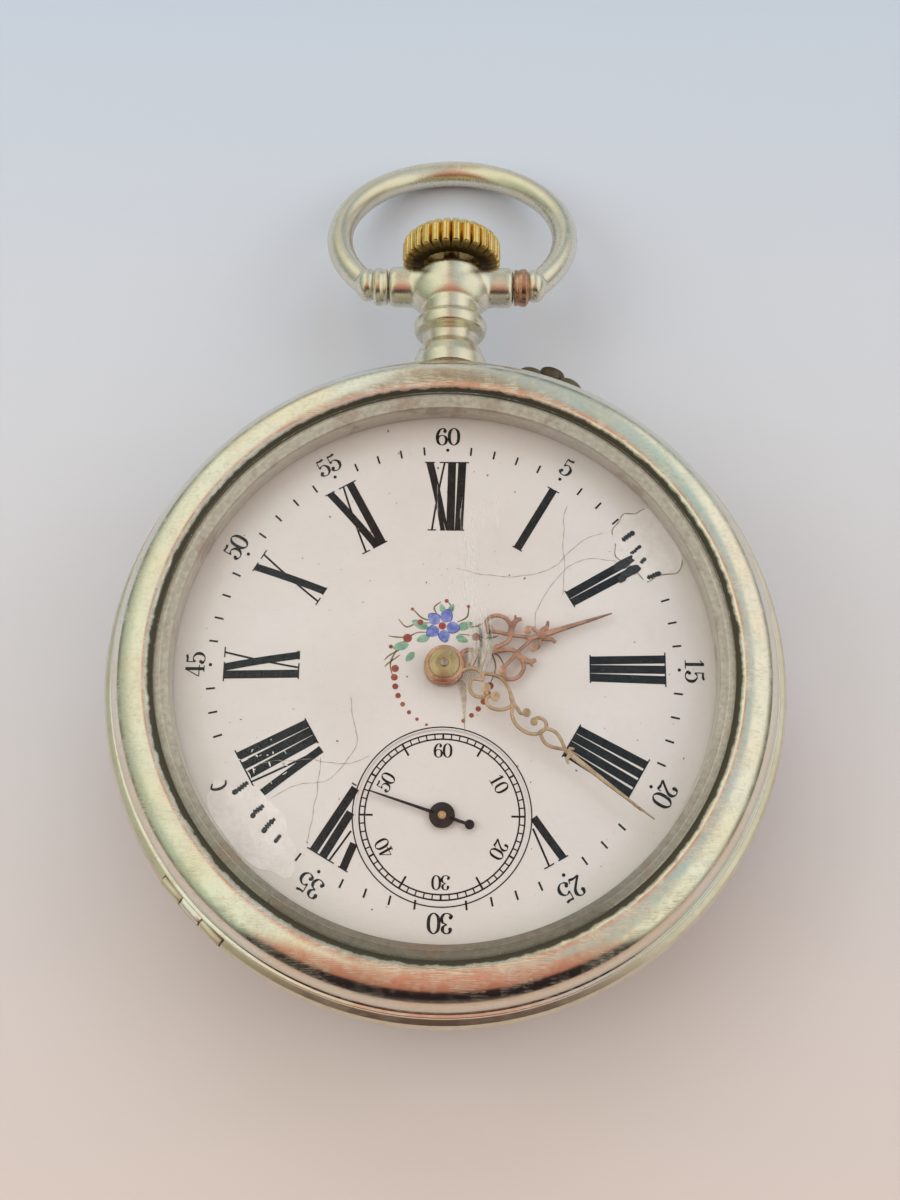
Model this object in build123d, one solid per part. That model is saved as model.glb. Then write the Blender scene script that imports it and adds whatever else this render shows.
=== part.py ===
from build123d import *
import os
from math import acos, atan2, cos, degrees, hypot, radians, sin, sqrt

# Open-face pocket watch, stem-wound and pin-set, with small seconds.
# Millimetres. The watch lies on its back: the origin is the middle of the back
# cover's flat land, +Z goes up through the dial, and 12 o'clock is toward +Y.

# ---- Driving dimensions ------------------------------------------------------

CASE_R = 25.0          # widest radius of the case middle
WIDEST_Z = 8.7         # height of that widest line
SEAM_Z = 9.55          # bezel sits on the case middle here
BACK_SEAM_Z = 5.3      # back cover meets the case middle here
LIP_R = 24.3           # radius of the bezel's stepped lip
BORE_R = 20.0          # bore of the case middle that holds the movement
COLLAR_R = 22.0        # collar of the case middle that centres the bezel
COLLAR_Z = 10.6
RING_R = 21.3          # inner ring that the dust cover snaps over
RING_Z = 4.6
SNAP_R = 23.6          # lip that the back cover snaps over
SNAP_Z = 4.5

DIAL_Z = 10.6          # top of the dial
DIAL_R = 20.2
DIAL_THICK = 0.9
SUBDIAL_R = 6.13       # sunk small-seconds ring
SUBDIAL_DEPTH = 0.12
WALL_R = 19.5          # inner wall of the bezel around the dial
GLASS_R = 20.5
GLASS_BEVEL_R = 19.95
GLASS_Z = 12.75        # seat of the glass in the bezel
GLASS_TOP_Z = 13.9

COVER_R = 24.9         # back cover
LAND_R = 15.0          # flat land that the watch lies on
COVER_THICK = 0.55
CUVETTE_R = 21.75      # dust cover
CUVETTE_Z = 1.5
CUVETTE_THICK = 0.35

AXIS_Z = 7.6           # stem, crown and bow pivots share this height
PIVOT_Y = 32.4         # bow pivots
CROWN_R = 4.0
CROWN_Y = (34.3, 36.9)
CROWN_FLUTES = 28
FLUTE_R = 0.37         # radius of the cutter that makes the crown's flutes
BOW_RING_R = 9.45      # centre line of the bow
BOW_WIRE_R = 1.075
BOW_OFFSET = 6.9       # bow pivots to the middle of its ring
BOW_DROP = 23.4        # the bow swings down this far to lie on the table
BOW_PIN_R = 0.8        # turned-in ends of the bow
CROSS_BAR = 10.1       # length of the pendant's cross-bar
COLLAR_END = 6.3       # outer face of the bow's collars, from the middle

HINGE_SIDE = 225.0     # hinges stand at half past seven, clockwise from twelve
PIN_SIDE = 18.2        # pin-set button, clockwise from twelve

PLATE_R = 19.9
PLATE_Z = (6.5, 8.9)   # main plate, back face and dial face
BRIDGE_Z = (4.3, 5.1)  # barrel bridge
TRAIN_BRIDGE_Z = (3.2, 4.1)
BRIDGE_R = 19.3
FIT = 0.04             # radial running clearance of pivots and shafts
GAP = 0.1              # space between covers and what they close on

# Tooth counts and modules of each meshing pair.
BARREL_TEETH = 80
CENTRE_LEAVES = 10
BARREL_MODULE = 0.2
CENTRE_TEETH = 80
THIRD_LEAVES = 10
CENTRE_MODULE = 0.15
THIRD_TEETH = 75
FOURTH_LEAVES = 10
THIRD_MODULE = 0.14
FOURTH_TEETH = 70
ESCAPE_LEAVES = 7
FOURTH_MODULE = 0.13
CANNON_TEETH = 12
MINUTE_TEETH = 36
CANNON_MODULE = 0.18
MINUTE_LEAVES = 10
HOUR_TEETH = 40
SETTING_TEETH = 20
CROWN_WHEEL_TEETH = 26
RATCHET_TEETH = 45
WINDING_MODULE = 0.3
ESCAPE_TEETH = 15
ESCAPE_R = 3.4

# Hands, clockwise from twelve.
HOUR_ANGLE = 71.5
MINUTE_ANGLE = 126.5
SECONDS_ANGLE = 288.0
HOUR_LENGTH = 12.76
MINUTE_LENGTH = 18.3
SECONDS_LENGTH = 5.46
HAND_THICK = 0.18
HOUR_HAND_Z = 11.0
MINUTE_HAND_Z = 11.55
SECONDS_HAND_Z = (10.72, 10.84)

# Movement, as heights of back faces and dial faces.
WINDING_Z = (3.8, 4.2)     # ratchet wheel and crown wheel
CLICK_Z = (3.85, 4.15)
BARREL_Z = (5.3, 7.2)
CENTRE_WHEEL_Z = (7.65, 7.9)
THIRD_WHEEL_Z = (4.3, 4.5)
FOURTH_WHEEL_Z = (5.5, 5.7)
FORK_Z = (4.85, 5.05)      # escape wheel and pallet fork
BALANCE_Z = (3.3, 3.9)
HAIRSPRING_Z = (2.92, 3.08)
COCK_Z = (1.98, 2.62)      # balance cock
PALLET_COCK_Z = (4.15, 4.55)
STAFF_PIVOT_R = 0.2        # third and fourth staffs
FINE_PIVOT_R = 0.12        # escape, pallet and balance staffs
BRIDGE_SCREW_Z = PLATE_Z[0] + 1.2  # end of the screws in the main plate


# ---- Places of the wheels ----------------------------------------------------

def polar(radius, angle, start=(0.0, 0.0)):
    """Point at a radius and an angle, counter-clockwise from +X."""
    return (start[0] + radius * cos(radians(angle)), start[1] + radius * sin(radians(angle)))


def bearing(start, end):
    """Angle of the line from start to end, counter-clockwise from +X."""
    return degrees(atan2(end[1] - start[1], end[0] - start[0]))


def reach(module, teeth, leaves):
    """Distance between the centres of two meshing gears."""
    return module * (teeth + leaves) / 2


CENTRE = (0.0, 0.0)
FOURTH = (0.0, -10.65)
BARREL = polar(reach(BARREL_MODULE, BARREL_TEETH, CENTRE_LEAVES), 148)
CENTRE_THIRD = reach(CENTRE_MODULE, CENTRE_TEETH, THIRD_LEAVES)
THIRD_FOURTH = reach(THIRD_MODULE, THIRD_TEETH, FOURTH_LEAVES)
THIRD_Y = (CENTRE_THIRD**2 - THIRD_FOURTH**2 + FOURTH[1] ** 2) / (2 * -FOURTH[1])
THIRD = (-sqrt(CENTRE_THIRD**2 - THIRD_Y**2), -THIRD_Y)
ESCAPE = polar(reach(FOURTH_MODULE, FOURTH_TEETH, ESCAPE_LEAVES), 20, FOURTH)
PALLET = polar(4.3, 35, ESCAPE)
BALANCE = polar(5.2, 55, PALLET)
MINUTE_REACH = reach(CANNON_MODULE, CANNON_TEETH, MINUTE_TEETH)
MINUTE_WHEEL = polar(MINUTE_REACH, 62)
HOUR_MODULE = 2 * MINUTE_REACH / (MINUTE_LEAVES + HOUR_TEETH)
SETTING = polar(reach(CANNON_MODULE, MINUTE_TEETH, SETTING_TEETH), 75, MINUTE_WHEEL)
CROWN_WHEEL_R = WINDING_MODULE * CROWN_WHEEL_TEETH / 2
RATCHET_R = WINDING_MODULE * RATCHET_TEETH / 2
CROWN_WHEEL = (0.0, BARREL[1] + sqrt((CROWN_WHEEL_R + RATCHET_R) ** 2 - BARREL[0] ** 2))
COCK_FOOT = polar(9.75, -80, BALANCE)
BALANCE_R = 7.4
PALLET_FOOT = polar(4.6, -75, PALLET)
REGULATOR_ANGLE = 150

PIVOTS = [THIRD, FOURTH, ESCAPE]
BRIDGE_SCREWS = [polar(17.6, a) for a in (22, 108, 134, 160)]
TRAIN_SCREWS = [polar(17.6, a) for a in (190, 232, 272)]
CASE_SCREWS = [polar(19.45, a) for a in (45, 200, 300)]


# ---- Shapes ------------------------------------------------------------------

def rod(radius, low, high, at=CENTRE):
    """Round bar along Z."""
    return Pos(at[0], at[1], (low + high) / 2) * Cylinder(radius, high - low)


def ring(outer, inner, low, high, at=CENTRE):
    """Flat ring along Z."""
    return rod(outer, low, high, at) - rod(inner, low - 1, high + 1, at)


def block(x, y, z):
    """Box between pairs of x, y and z limits."""
    size = [pair[1] - pair[0] for pair in (x, y, z)]
    middle = [(pair[1] + pair[0]) / 2 for pair in (x, y, z)]
    return Pos(*middle) * Box(*size)


def lathe(corners):
    """Turned shape: corners are radius, height and the rounding of that corner."""
    points = [(corner[0], 0, corner[1]) for corner in corners]
    rounding = [corner[2] for corner in corners]
    return revolve(make_face(FilletPolyline(*points, radius=rounding, close=True)), Axis.Z)


def along_y(shape, y=0.0, x=0.0, z=AXIS_Z):
    """Stand a shape turned about Z onto the stem's direction, +Y."""
    return Pos(x, y, z) * Rot(-90, 0, 0) * shape


def outward(angle, radius, z):
    """Place at a clockwise angle from twelve, with local +X out and +Y along the rim."""
    return Rot(0, 0, 90 - angle) * Pos(radius, 0, z)


def arm(start, start_r, end, end_r, low, high):
    """Tapered flat arm with round ends, from one place to another."""
    length = hypot(end[0] - start[0], end[1] - start[1])
    lean = acos((start_r - end_r) / length)
    corners = [
        (radius * cos(side * lean) + far, radius * sin(side * lean))
        for radius, far, side in (
            (start_r, 0, 1), (end_r, length, 1), (end_r, length, -1), (start_r, 0, -1))
    ]
    web = extrude(make_face(Polyline(*corners, close=True)), high - low, dir=(0, 0, 1))
    turned = Pos(start[0], start[1], low) * Rot(0, 0, bearing(start, end)) * web
    return turned + rod(start_r, low, high, start) + rod(end_r, low, high, end)


def mesh_phase(phase, teeth, mate, line):
    """Phase of a mating gear whose centre lies along the line from the first gear."""
    share = ((line - phase) * teeth / 360) % 1
    return line + 180 - 360 / mate * (0.5 - share)


def toothed(teeth, module, low, high, phase, at, tip=0.75, root=1.0):
    """Solid gear blank with cut teeth, one of them centred on the phase angle."""
    pitch_r = module * teeth / 2
    step = 360 / teeth
    outline = []
    for number in range(teeth):
        middle = phase + number * step
        outline += [
            polar(pitch_r - root * module, middle - 0.29 * step),
            polar(pitch_r + tip * module, middle - 0.12 * step),
            polar(pitch_r + tip * module, middle + 0.12 * step),
            polar(pitch_r - root * module, middle + 0.29 * step),
        ]
    blank = extrude(make_face(Polyline(*outline, close=True)), high - low, dir=(0, 0, 1))
    return Pos(at[0], at[1], low) * blank


def spoked(blank, rim, hub, spokes, low, high, at, width):
    """Cross out a wheel so that only its rim, hub and spokes stay."""
    web = ring(rim, hub, low - 1, high + 1, at)
    for number in range(spokes):
        end = polar(rim + 1, 360 / spokes * number + 30, at)
        web -= arm(at, width, end, width * 0.7, low - 2, high + 2)
    return blank - web


def screw(at, low, high, head_r=0.85, shank_r=0.45, head=0.35, slot=0.18):
    """Slotted cheese-head screw with its head at the low, back side."""
    body = rod(head_r, low, low + head, at) + rod(shank_r, low + head, high, at)
    half = slot / 2
    cut = block((at[0] - 2, at[0] + 2), (at[1] - half, at[1] + half), (low - 1, low + 0.15))
    return body - cut


def spiral(start_r, pitch, turns, thick, low, high, at):
    """Flat spiral spring made of half turns that grow by half a pitch each."""
    strip = None
    for half in range(int(2 * turns)):
        side = 1 if half % 2 == 0 else -1
        middle = (at[0] + (0 if side > 0 else pitch / 2), at[1])
        radius = start_r + half * pitch / 2
        turn = ring(radius + thick / 2, radius - thick / 2, low, high, middle)
        far = radius + 5
        side_box = block(
            (middle[0] - far, middle[0] + far),
            tuple(sorted((middle[1], middle[1] + side * far))),
            (low - 1, high + 1),
        )
        turn = turn & side_box
        strip = turn if strip is None else strip + turn
    return strip


PARTS = {}


def keep(name, *solids):
    """Store one node; several separate solids of one kind share a node."""
    PARTS[name] = solids[0] if len(solids) == 1 else Compound(children=list(solids))


# ---- Hinges at half past seven -----------------------------------------------
# Each hinge has two outer knuckles on the case and a middle knuckle on its cover.

HINGES = {
    "bezel": {"radius": 24.42, "z": 9.22, "knuckle": 0.42, "half": 3.0},
    "back": {"radius": 24.45, "z": 4.95, "knuckle": 0.5, "half": 3.6},
    "cuvette": {"radius": 22.35, "z": 4.85, "knuckle": 0.4, "half": 2.6},
}
PIN_SHARE = 0.45       # hinge pin radius as a share of the knuckle


def on_hinge(name, radius, low, high):
    """Bar along a hinge axis, between two places along the rim."""
    hinge = HINGES[name]
    bar = Rot(-90, 0, 0) * Pos(0, 0, (low + high) / 2) * Cylinder(radius, high - low)
    return outward(HINGE_SIDE, hinge["radius"], hinge["z"]) * bar


def cover_knuckle(name):
    """Middle knuckle, drilled for its pin."""
    hinge = HINGES[name]
    third = hinge["half"] / 3
    shell = on_hinge(name, hinge["knuckle"], -third + GAP / 2, third - GAP / 2)
    return shell - pin_hole(name)


def case_knuckles(name):
    """Two outer knuckles, drilled for the pin."""
    hinge = HINGES[name]
    third = hinge["half"] / 3
    pair = on_hinge(name, hinge["knuckle"], -hinge["half"], -third)
    pair += on_hinge(name, hinge["knuckle"], third, hinge["half"])
    return pair


def hinge_pin(name):
    hinge = HINGES[name]
    return on_hinge(name, hinge["knuckle"] * PIN_SHARE, -hinge["half"], hinge["half"])


def pin_hole(name):
    hinge = HINGES[name]
    radius = hinge["knuckle"] * PIN_SHARE + FIT
    return on_hinge(name, radius, -hinge["half"] - 1, hinge["half"] + 1)


def hinge_room(name, spare=0.12, length=0.1):
    """Space that the whole hinge turns in."""
    hinge = HINGES[name]
    half = hinge["half"] + length
    return on_hinge(name, hinge["knuckle"] + spare, -half, half)


# ---- Case --------------------------------------------------------------------

def case_middle():
    body = lathe([
        (BORE_R + 0.5, RING_Z, 0.1), (RING_R, RING_Z, 0.1), (RING_R, BACK_SEAM_Z, 0),
        (SNAP_R - 1.3, BACK_SEAM_Z, 0), (SNAP_R - 1.3, SNAP_Z, 0.1), (SNAP_R, SNAP_Z, 0.1),
        (SNAP_R, BACK_SEAM_Z, 0), (24.55, BACK_SEAM_Z, 0.1), (24.92, 7.0, 1.5),
        (CASE_R, WIDEST_Z, 0.4), (24.72, 9.3, 0.15), (LIP_R, SEAM_Z - 0.05, 0.05),
        (COLLAR_R, SEAM_Z - 0.05, 0), (COLLAR_R, COLLAR_Z, 0.12),
        (20.65, COLLAR_Z, 0.05), (20.65, 8.3, 0), (BORE_R, 8.3, 0), (BORE_R, 6.0, 0),
        (BORE_R + 0.5, 6.0, 0),
    ])
    body -= along_y(Cylinder(1.0, 12), 23)
    body -= outward(PIN_SIDE, 23, AXIS_Z) * Rot(0, 90, 0) * Cylinder(0.75, 8)
    body -= outward(PIN_SIDE, CASE_R, AXIS_Z) * Rot(0, 90, 0) * Cylinder(1.08, 2.6)
    wide = HINGES["cuvette"]["half"] + 0.4
    notch = Box(2.6, 2 * wide, 2.0)
    body -= outward(HINGE_SIDE, SNAP_R - 1.2, SNAP_Z - 0.2) * notch
    for name in HINGES:
        body -= hinge_room(name)
    for name in HINGES:
        body += hinge_seat(name)
        body -= pin_hole(name)
    return body


def hinge_seat(name):
    """Knuckles on the case, with a short web that ties them to the case middle."""
    hinge = HINGES[name]
    third = hinge["half"] / 3
    web_x = (-0.9, 0.0) if name == "bezel" else (-0.15, 0.35)
    web_z = (-0.35, 0.1) if name == "bezel" else (0.0, 0.95)
    shape = case_knuckles(name)
    for side in (-1, 1):
        span = tuple(sorted((side * third, side * (hinge["half"] + 0.2))))
        shape += outward(HINGE_SIDE, hinge["radius"], hinge["z"]) * block(web_x, span, web_z)
    return shape


def bezel():
    body = lathe([
        (LIP_R, SEAM_Z, 0.1), (LIP_R, 10.15, 0.12), (23.85, 10.25, 0.1),
        (23.75, 11.3, 1.0), (22.9, 12.9, 1.1), (21.2, 13.3, 0.7), (GLASS_R + 0.03, 12.95, 0.1),
        (GLASS_R + 0.03, GLASS_Z - 0.03, 0), (WALL_R, GLASS_Z - 0.03, 0.05),
        (WALL_R, COLLAR_Z + 0.12, 0.1), (COLLAR_R + GAP, COLLAR_Z + 0.12, 0),
        (COLLAR_R + GAP, SEAM_Z, 0),
    ])
    body -= hinge_room("bezel")
    leaf = outward(HINGE_SIDE, HINGES["bezel"]["radius"], HINGES["bezel"]["z"])
    third = HINGES["bezel"]["half"] / 3 - GAP / 2
    body += leaf * block((-0.42, 0.0), (-third, third), (0.1, 0.6))
    return body + cover_knuckle("bezel") - pin_hole("bezel")


def crystal():
    return lathe([
        (0, GLASS_Z + 0.05, 0), (GLASS_R - 1.1, GLASS_Z, 0), (GLASS_R, GLASS_Z, 0),
        (GLASS_R, GLASS_Z + 0.5, 0.05), (GLASS_BEVEL_R, 13.55, 0.1), (0, GLASS_TOP_Z, 0),
    ])


def back_cover():
    body = lathe([
        (0, 0, 0), (LAND_R, 0, 2.0), (21.3, 1.15, 3.0), (24.3, 3.1, 2.0),
        (COVER_R, 4.9, 0.3), (24.5, BACK_SEAM_Z - 0.05, 0.15),
        (SNAP_R + GAP, BACK_SEAM_Z - 0.05, 0.05), (SNAP_R + GAP, 3.55, 1.0),
        (21.1, 1.75, 2.5), (LAND_R, COVER_THICK, 1.0), (0, COVER_THICK, 0),
    ])
    flat = outward(HINGE_SIDE, HINGES["back"]["radius"] + 1.45, 3.5)
    body -= flat * Box(3.0, 30.0, 10.0)
    body -= hinge_room("back")
    leaf = outward(HINGE_SIDE, HINGES["back"]["radius"], HINGES["back"]["z"])
    third = HINGES["back"]["half"] / 3 - GAP / 2
    body += leaf * block((-0.85, -0.1), (-third, third), (-1.2, -0.25))
    thumb = outward(HINGE_SIDE - 180, COVER_R - 0.25, BACK_SEAM_Z - 0.4)
    body += thumb * Box(0.6, 3.0, 0.45)
    return body + cover_knuckle("back") - pin_hole("back")


def cuvette():
    inner = CUVETTE_R - CUVETTE_THICK
    top = BACK_SEAM_Z - 0.15
    body = lathe([
        (0, CUVETTE_Z, 0), (19.6, CUVETTE_Z, 1.2), (CUVETTE_R, 3.3, 1.0), (CUVETTE_R, top, 0.1),
        (inner, top, 0.1), (inner, 3.45, 0.8), (19.45, CUVETTE_Z + CUVETTE_THICK, 0.9),
        (0, CUVETTE_Z + CUVETTE_THICK, 0),
    ])
    body -= hinge_room("cuvette")
    leaf = outward(HINGE_SIDE, HINGES["cuvette"]["radius"], HINGES["cuvette"]["z"])
    third = HINGES["cuvette"]["half"] / 3 - GAP / 2
    body += leaf * block((-0.85, -0.1), (-third, third), (-0.55, -0.1))
    lip = outward(HINGE_SIDE - 180, CUVETTE_R + 0.1, top - 0.4)
    body += lip * Box(0.5, 2.6, 0.4)
    return body + cover_knuckle("cuvette") - pin_hole("cuvette")


def pendant(case):
    """Pendant turned about the stem's axis, with a cross-bar that carries the bow."""
    turned = lathe([
        (0, 23.6, 0), (2.9, 23.6, 0), (2.9, 25.4, 0.5), (2.65, 26.5, 0.4), (2.1, 27.2, 0.3),
        (2.1, 28.0, 0.2), (2.95, 28.15, 0.3), (2.95, 29.15, 0.35), (2.45, 29.5, 0.2),
        (2.62, 33.4, 0.4), (2.1, 33.9, 0.2), (2.1, 35.0, 0.1), (0, 35.0, 0),
    ])
    body = along_y(turned)
    body += Pos(0, PIVOT_Y, AXIS_Z) * cross_bar(1.6, -CROSS_BAR / 2, CROSS_BAR / 2)
    body -= rod(CASE_R + 0.02, 0, BACK_SEAM_Z)
    body -= case + rod(CASE_R - 1.5, BACK_SEAM_Z - 0.1, 9.62)
    body -= rod(LIP_R + 0.1, 9.5, 15)
    body -= along_y(Cylinder(1.0, 30), 30)
    for side in (-1, 1):
        body -= Pos(0, PIVOT_Y, AXIS_Z) * cross_bar(BOW_PIN_R + FIT, side * 3.5, side * 8)
    return body


def bow():
    """Round bow: a bent wire whose turned-in ends are its pivots in the cross-bar."""
    end_y = 0.35
    end_angle = degrees(atan2(end_y - BOW_OFFSET, sqrt(BOW_RING_R**2 - (BOW_OFFSET - end_y) ** 2)))
    line = CenterArc((0, BOW_OFFSET, 0), BOW_RING_R, end_angle, 180 - 2 * end_angle)
    wire = sweep(Plane(line @ 0, z_dir=line % 0) * Circle(BOW_WIRE_R), path=line)
    end_x = BOW_RING_R * cos(radians(end_angle))
    for side in (-1, 1):
        wire += Pos(side * end_x, end_y, 0) * Sphere(BOW_WIRE_R + 0.05)
    wire -= block((-COLLAR_END, COLLAR_END), (-3.0, 2.0), (-3.0, 3.0))
    for side in (-1, 1):
        wire += cross_bar(BOW_PIN_R, side * 3.6, side * (end_x + 0.1))
    return Pos(0, PIVOT_Y, AXIS_Z) * Rot(-BOW_DROP, 0, 0) * wire


def cross_bar(radius, start, end):
    """Round bar along X between two places."""
    return Pos((start + end) / 2, 0, 0) * Rot(0, 90, 0) * Cylinder(radius, abs(end - start))


def bow_collar(side):
    """Turned collar on the bow's pivot, against the end of the cross-bar."""
    span = (side * (CROSS_BAR / 2 + 0.05), side * (COLLAR_END - 0.02))
    ring_shape = cross_bar(1.52, *span) - cross_bar(BOW_PIN_R + 0.02, side * 4, side * 8)
    return Pos(0, PIVOT_Y, AXIS_Z) * Rot(-BOW_DROP, 0, 0) * ring_shape


def crown():
    low, high = CROWN_Y
    blank = lathe([
        (0, low + 1.0, 0), (2.35, low + 1.0, 0), (2.35, low, 0.05), (3.3, low, 0.2),
        (CROWN_R, low + 0.45, 0.3), (CROWN_R, high - 0.9, 0.5), (3.4, high - 0.15, 0.6),
        (2.2, high, 0.3), (0, high, 0),
    ])
    for number in range(CROWN_FLUTES):
        x, y = polar(CROWN_R + 0.22, 360 / CROWN_FLUTES * number)
        blank -= Pos(x, y, (low + high) / 2) * Cylinder(FLUTE_R, 6)
    blank -= Pos(0, 0, low) * Cylinder(0.7, 4.0)
    return along_y(blank)


def winding_stem():
    stem = rod(0.9, 17.8, 33.0) + rod(0.7, 13.7, 17.8) + rod(0.4, 12.2, 13.7)
    stem += rod(0.7, 33.0, CROWN_Y[0] + 2.0)
    return along_y(stem)


def winding_pinion():
    return along_y(toothed(14, 0.25, 14.4, 16.0, 0, CENTRE) - rod(0.7, 14, 17))


def clutch_wheel():
    body = rod(1.3, 16.4, 17.4) - rod(1.5, 16.75, 17.05) + rod(1.0, 16.5, 17.3)
    return along_y(body - rod(0.7 + FIT, 16, 18))


def pin_button():
    shaft = lathe([
        (0, 20.9, 0), (0.65, 20.9, 0), (0.65, 24.6, 0), (1.0, 24.85, 0), (1.0, 26.2, 0.2),
        (0.0, 26.5, 0),
    ])
    return outward(PIN_SIDE, 0, AXIS_Z) * Rot(0, 90, 0) * shaft


def pin_spring():
    """Flat spring that pushes the pin-set button out again."""
    start = polar(16.0, 90 - PIN_SIDE - 24)
    end = polar(17.4, 90 - PIN_SIDE)
    return arm(start, 0.5, end, 0.28, 5.25, 5.45)


def pin_guard():
    """Low olive-shaped guard on the band that keeps the button from being pressed."""
    inner = CASE_R + 0.02
    guard = ring(inner + 0.95, inner, AXIS_Z - 1.5, AXIS_Z + 1.35)
    guard &= outward(PIN_SIDE, CASE_R, AXIS_Z) * Box(6, 5.5, 6)
    return guard - outward(PIN_SIDE, inner, AXIS_Z) * Rot(0, 90, 0) * Cylinder(1.1, 6)


# ---- Dial and hands ----------------------------------------------------------

def dial():
    bottom = DIAL_Z - DIAL_THICK
    body = lathe([
        (0, bottom, 0), (DIAL_R, bottom, 0), (DIAL_R, DIAL_Z - 0.15, 0.1),
        (DIAL_R - 0.3, DIAL_Z, 0.1), (0, DIAL_Z, 0),
    ])
    body -= rod(SUBDIAL_R, DIAL_Z - SUBDIAL_DEPTH, DIAL_Z + 1, FOURTH)
    body -= rod(1.25, bottom - 1, DIAL_Z + 1)
    body -= rod(0.35, bottom - 1, DIAL_Z + 1, FOURTH)
    return body


DIAL_FEET = [polar(17.2, a) for a in (38, 148, 282)]


def hand_outline(length, widths):
    """Pointed outline along +Y: widths are half widths at shares of the length."""
    right = [(half, share * length) for share, half in widths]
    left = [(-half, share * length) for share, half in reversed(widths)]
    return make_face(Polyline(*right, (0, length), *left, close=True))


def hand(length, widths, hub_r, hole_r, low, high, angle, at=CENTRE, windows=()):
    """Flat hand with a round hub and pierced windows."""
    blade = extrude(hand_outline(length, widths), high - low, dir=(0, 0, 1)) + rod(hub_r, 0, high - low)
    for share, radius in windows:
        blade -= Pos(0, share * length, 0) * Cylinder(radius, 4)
    blade -= rod(hole_r, -1, 2)
    return Pos(at[0], at[1], low) * Rot(0, 0, -angle) * blade


def hour_hand():
    widths = [(0, 0.7), (0.3, 0.6), (0.42, 1.5), (0.58, 1.7), (0.72, 0.7), (0.8, 0.35)]
    windows = [(0.5, 0.75)]
    high = HOUR_HAND_Z + HAND_THICK
    return hand(HOUR_LENGTH, widths, 1.75, 0.85, HOUR_HAND_Z, high, HOUR_ANGLE, windows=windows)


def minute_hand():
    widths = [(0, 0.6), (0.3, 0.45), (0.45, 1.2), (0.6, 1.4), (0.7, 0.6), (0.78, 0.3)]
    windows = [(0.52, 0.6)]
    high = MINUTE_HAND_Z + HAND_THICK
    return hand(MINUTE_LENGTH, widths, 1.5, 0.5, MINUTE_HAND_Z, high, MINUTE_ANGLE, windows=windows)


def seconds_hand():
    widths = [(0, 0.16), (0.5, 0.13), (0.9, 0.07)]
    low, high = SECONDS_HAND_Z
    body = hand(SECONDS_LENGTH, widths, 0.91, 0.18, low, high, SECONDS_ANGLE, FOURTH)
    tail = polar(2.03, 90 - SECONDS_ANGLE + 180, FOURTH)
    return body + arm(tail, 0.33, FOURTH, 0.2, low, high) - rod(0.18, 10, 12, FOURTH)


# ---- Motion works ------------------------------------------------------------

HUB_PHASE = 0.0
MINUTE_PHASE = mesh_phase(HUB_PHASE, CANNON_TEETH, MINUTE_TEETH, bearing(CENTRE, MINUTE_WHEEL))
HOUR_PHASE = mesh_phase(0, MINUTE_LEAVES, HOUR_TEETH, bearing(MINUTE_WHEEL, CENTRE))
SETTING_PHASE = mesh_phase(
    MINUTE_PHASE, MINUTE_TEETH, SETTING_TEETH, bearing(MINUTE_WHEEL, SETTING))


def cannon_pinion():
    body = toothed(CANNON_TEETH, CANNON_MODULE, 8.95, 9.2, HUB_PHASE, CENTRE)
    body += rod(0.5, 9.1, 12.0) + rod(0.8, 11.75, 12.0)
    return body - rod(0.3 + FIT, 8, 11.9)


def hour_wheel():
    body = toothed(HOUR_TEETH, HOUR_MODULE, 9.28, 9.45, HOUR_PHASE, CENTRE)
    return body + rod(0.85, 9.3, 11.15) - rod(0.5 + FIT, 8, 12)


def minute_wheel():
    body = toothed(MINUTE_TEETH, CANNON_MODULE, 9.0, 9.2, MINUTE_PHASE, MINUTE_WHEEL)
    body += toothed(MINUTE_LEAVES, HOUR_MODULE, 9.1, 9.5, 0, MINUTE_WHEEL)
    return body - rod(0.3 + FIT, 8, 10, MINUTE_WHEEL)


def setting_wheel():
    body = toothed(SETTING_TEETH, CANNON_MODULE, 9.0, 9.25, SETTING_PHASE, SETTING)
    return body - rod(0.3 + FIT, 8, 10, SETTING)


# ---- Going train -------------------------------------------------------------

TRAIN_LINE = {
    "centre_third": bearing(CENTRE, THIRD),
    "third_fourth": bearing(THIRD, FOURTH),
    "fourth_escape": bearing(FOURTH, ESCAPE),
}
CENTRE_PHASE = mesh_phase(0, BARREL_TEETH, CENTRE_LEAVES, bearing(BARREL, CENTRE))
THIRD_PHASE = mesh_phase(0, CENTRE_TEETH, THIRD_LEAVES, TRAIN_LINE["centre_third"])
FOURTH_PHASE = mesh_phase(0, THIRD_TEETH, FOURTH_LEAVES, TRAIN_LINE["third_fourth"])
ESCAPE_PHASE = mesh_phase(0, FOURTH_TEETH, ESCAPE_LEAVES, TRAIN_LINE["fourth_escape"])


def mainspring_barrel():
    low, high = BARREL_Z
    drum = ring(7.7, 7.3, low + 0.3, high - 0.2, BARREL)
    body = toothed(BARREL_TEETH, BARREL_MODULE, high - 0.45, high, 0, BARREL) + drum
    body -= rod(7.3, 5.0, 7.0, BARREL)
    return body - rod(0.6 + FIT, 5, 8, BARREL)


def barrel_cover():
    low = BARREL_Z[0]
    return ring(7.3, 0.6 + FIT, low, low + 0.3, BARREL) + ring(7.7, 7.0, low, low + 0.28, BARREL)


def barrel_arbor():
    body = rod(0.6, 5.15, 7.35, BARREL) + rod(1.3, 5.75, 6.85, BARREL)
    body += rod(0.4, 7.35, 8.3, BARREL) + rod(0.55, 4.25, 5.2, BARREL)
    half = 0.5
    square = block(
        (BARREL[0] - half, BARREL[0] + half), (BARREL[1] - half, BARREL[1] + half), (3.75, 4.3))
    return body + square - rod(0.25, 3, 5.0, BARREL)


def arbor(at, low, high, radius, pivot=0.2, step=0.5):
    """Staff with thin pivots at both ends."""
    return rod(radius, low + step, high - step, at) + rod(pivot, low, high, at)


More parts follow.
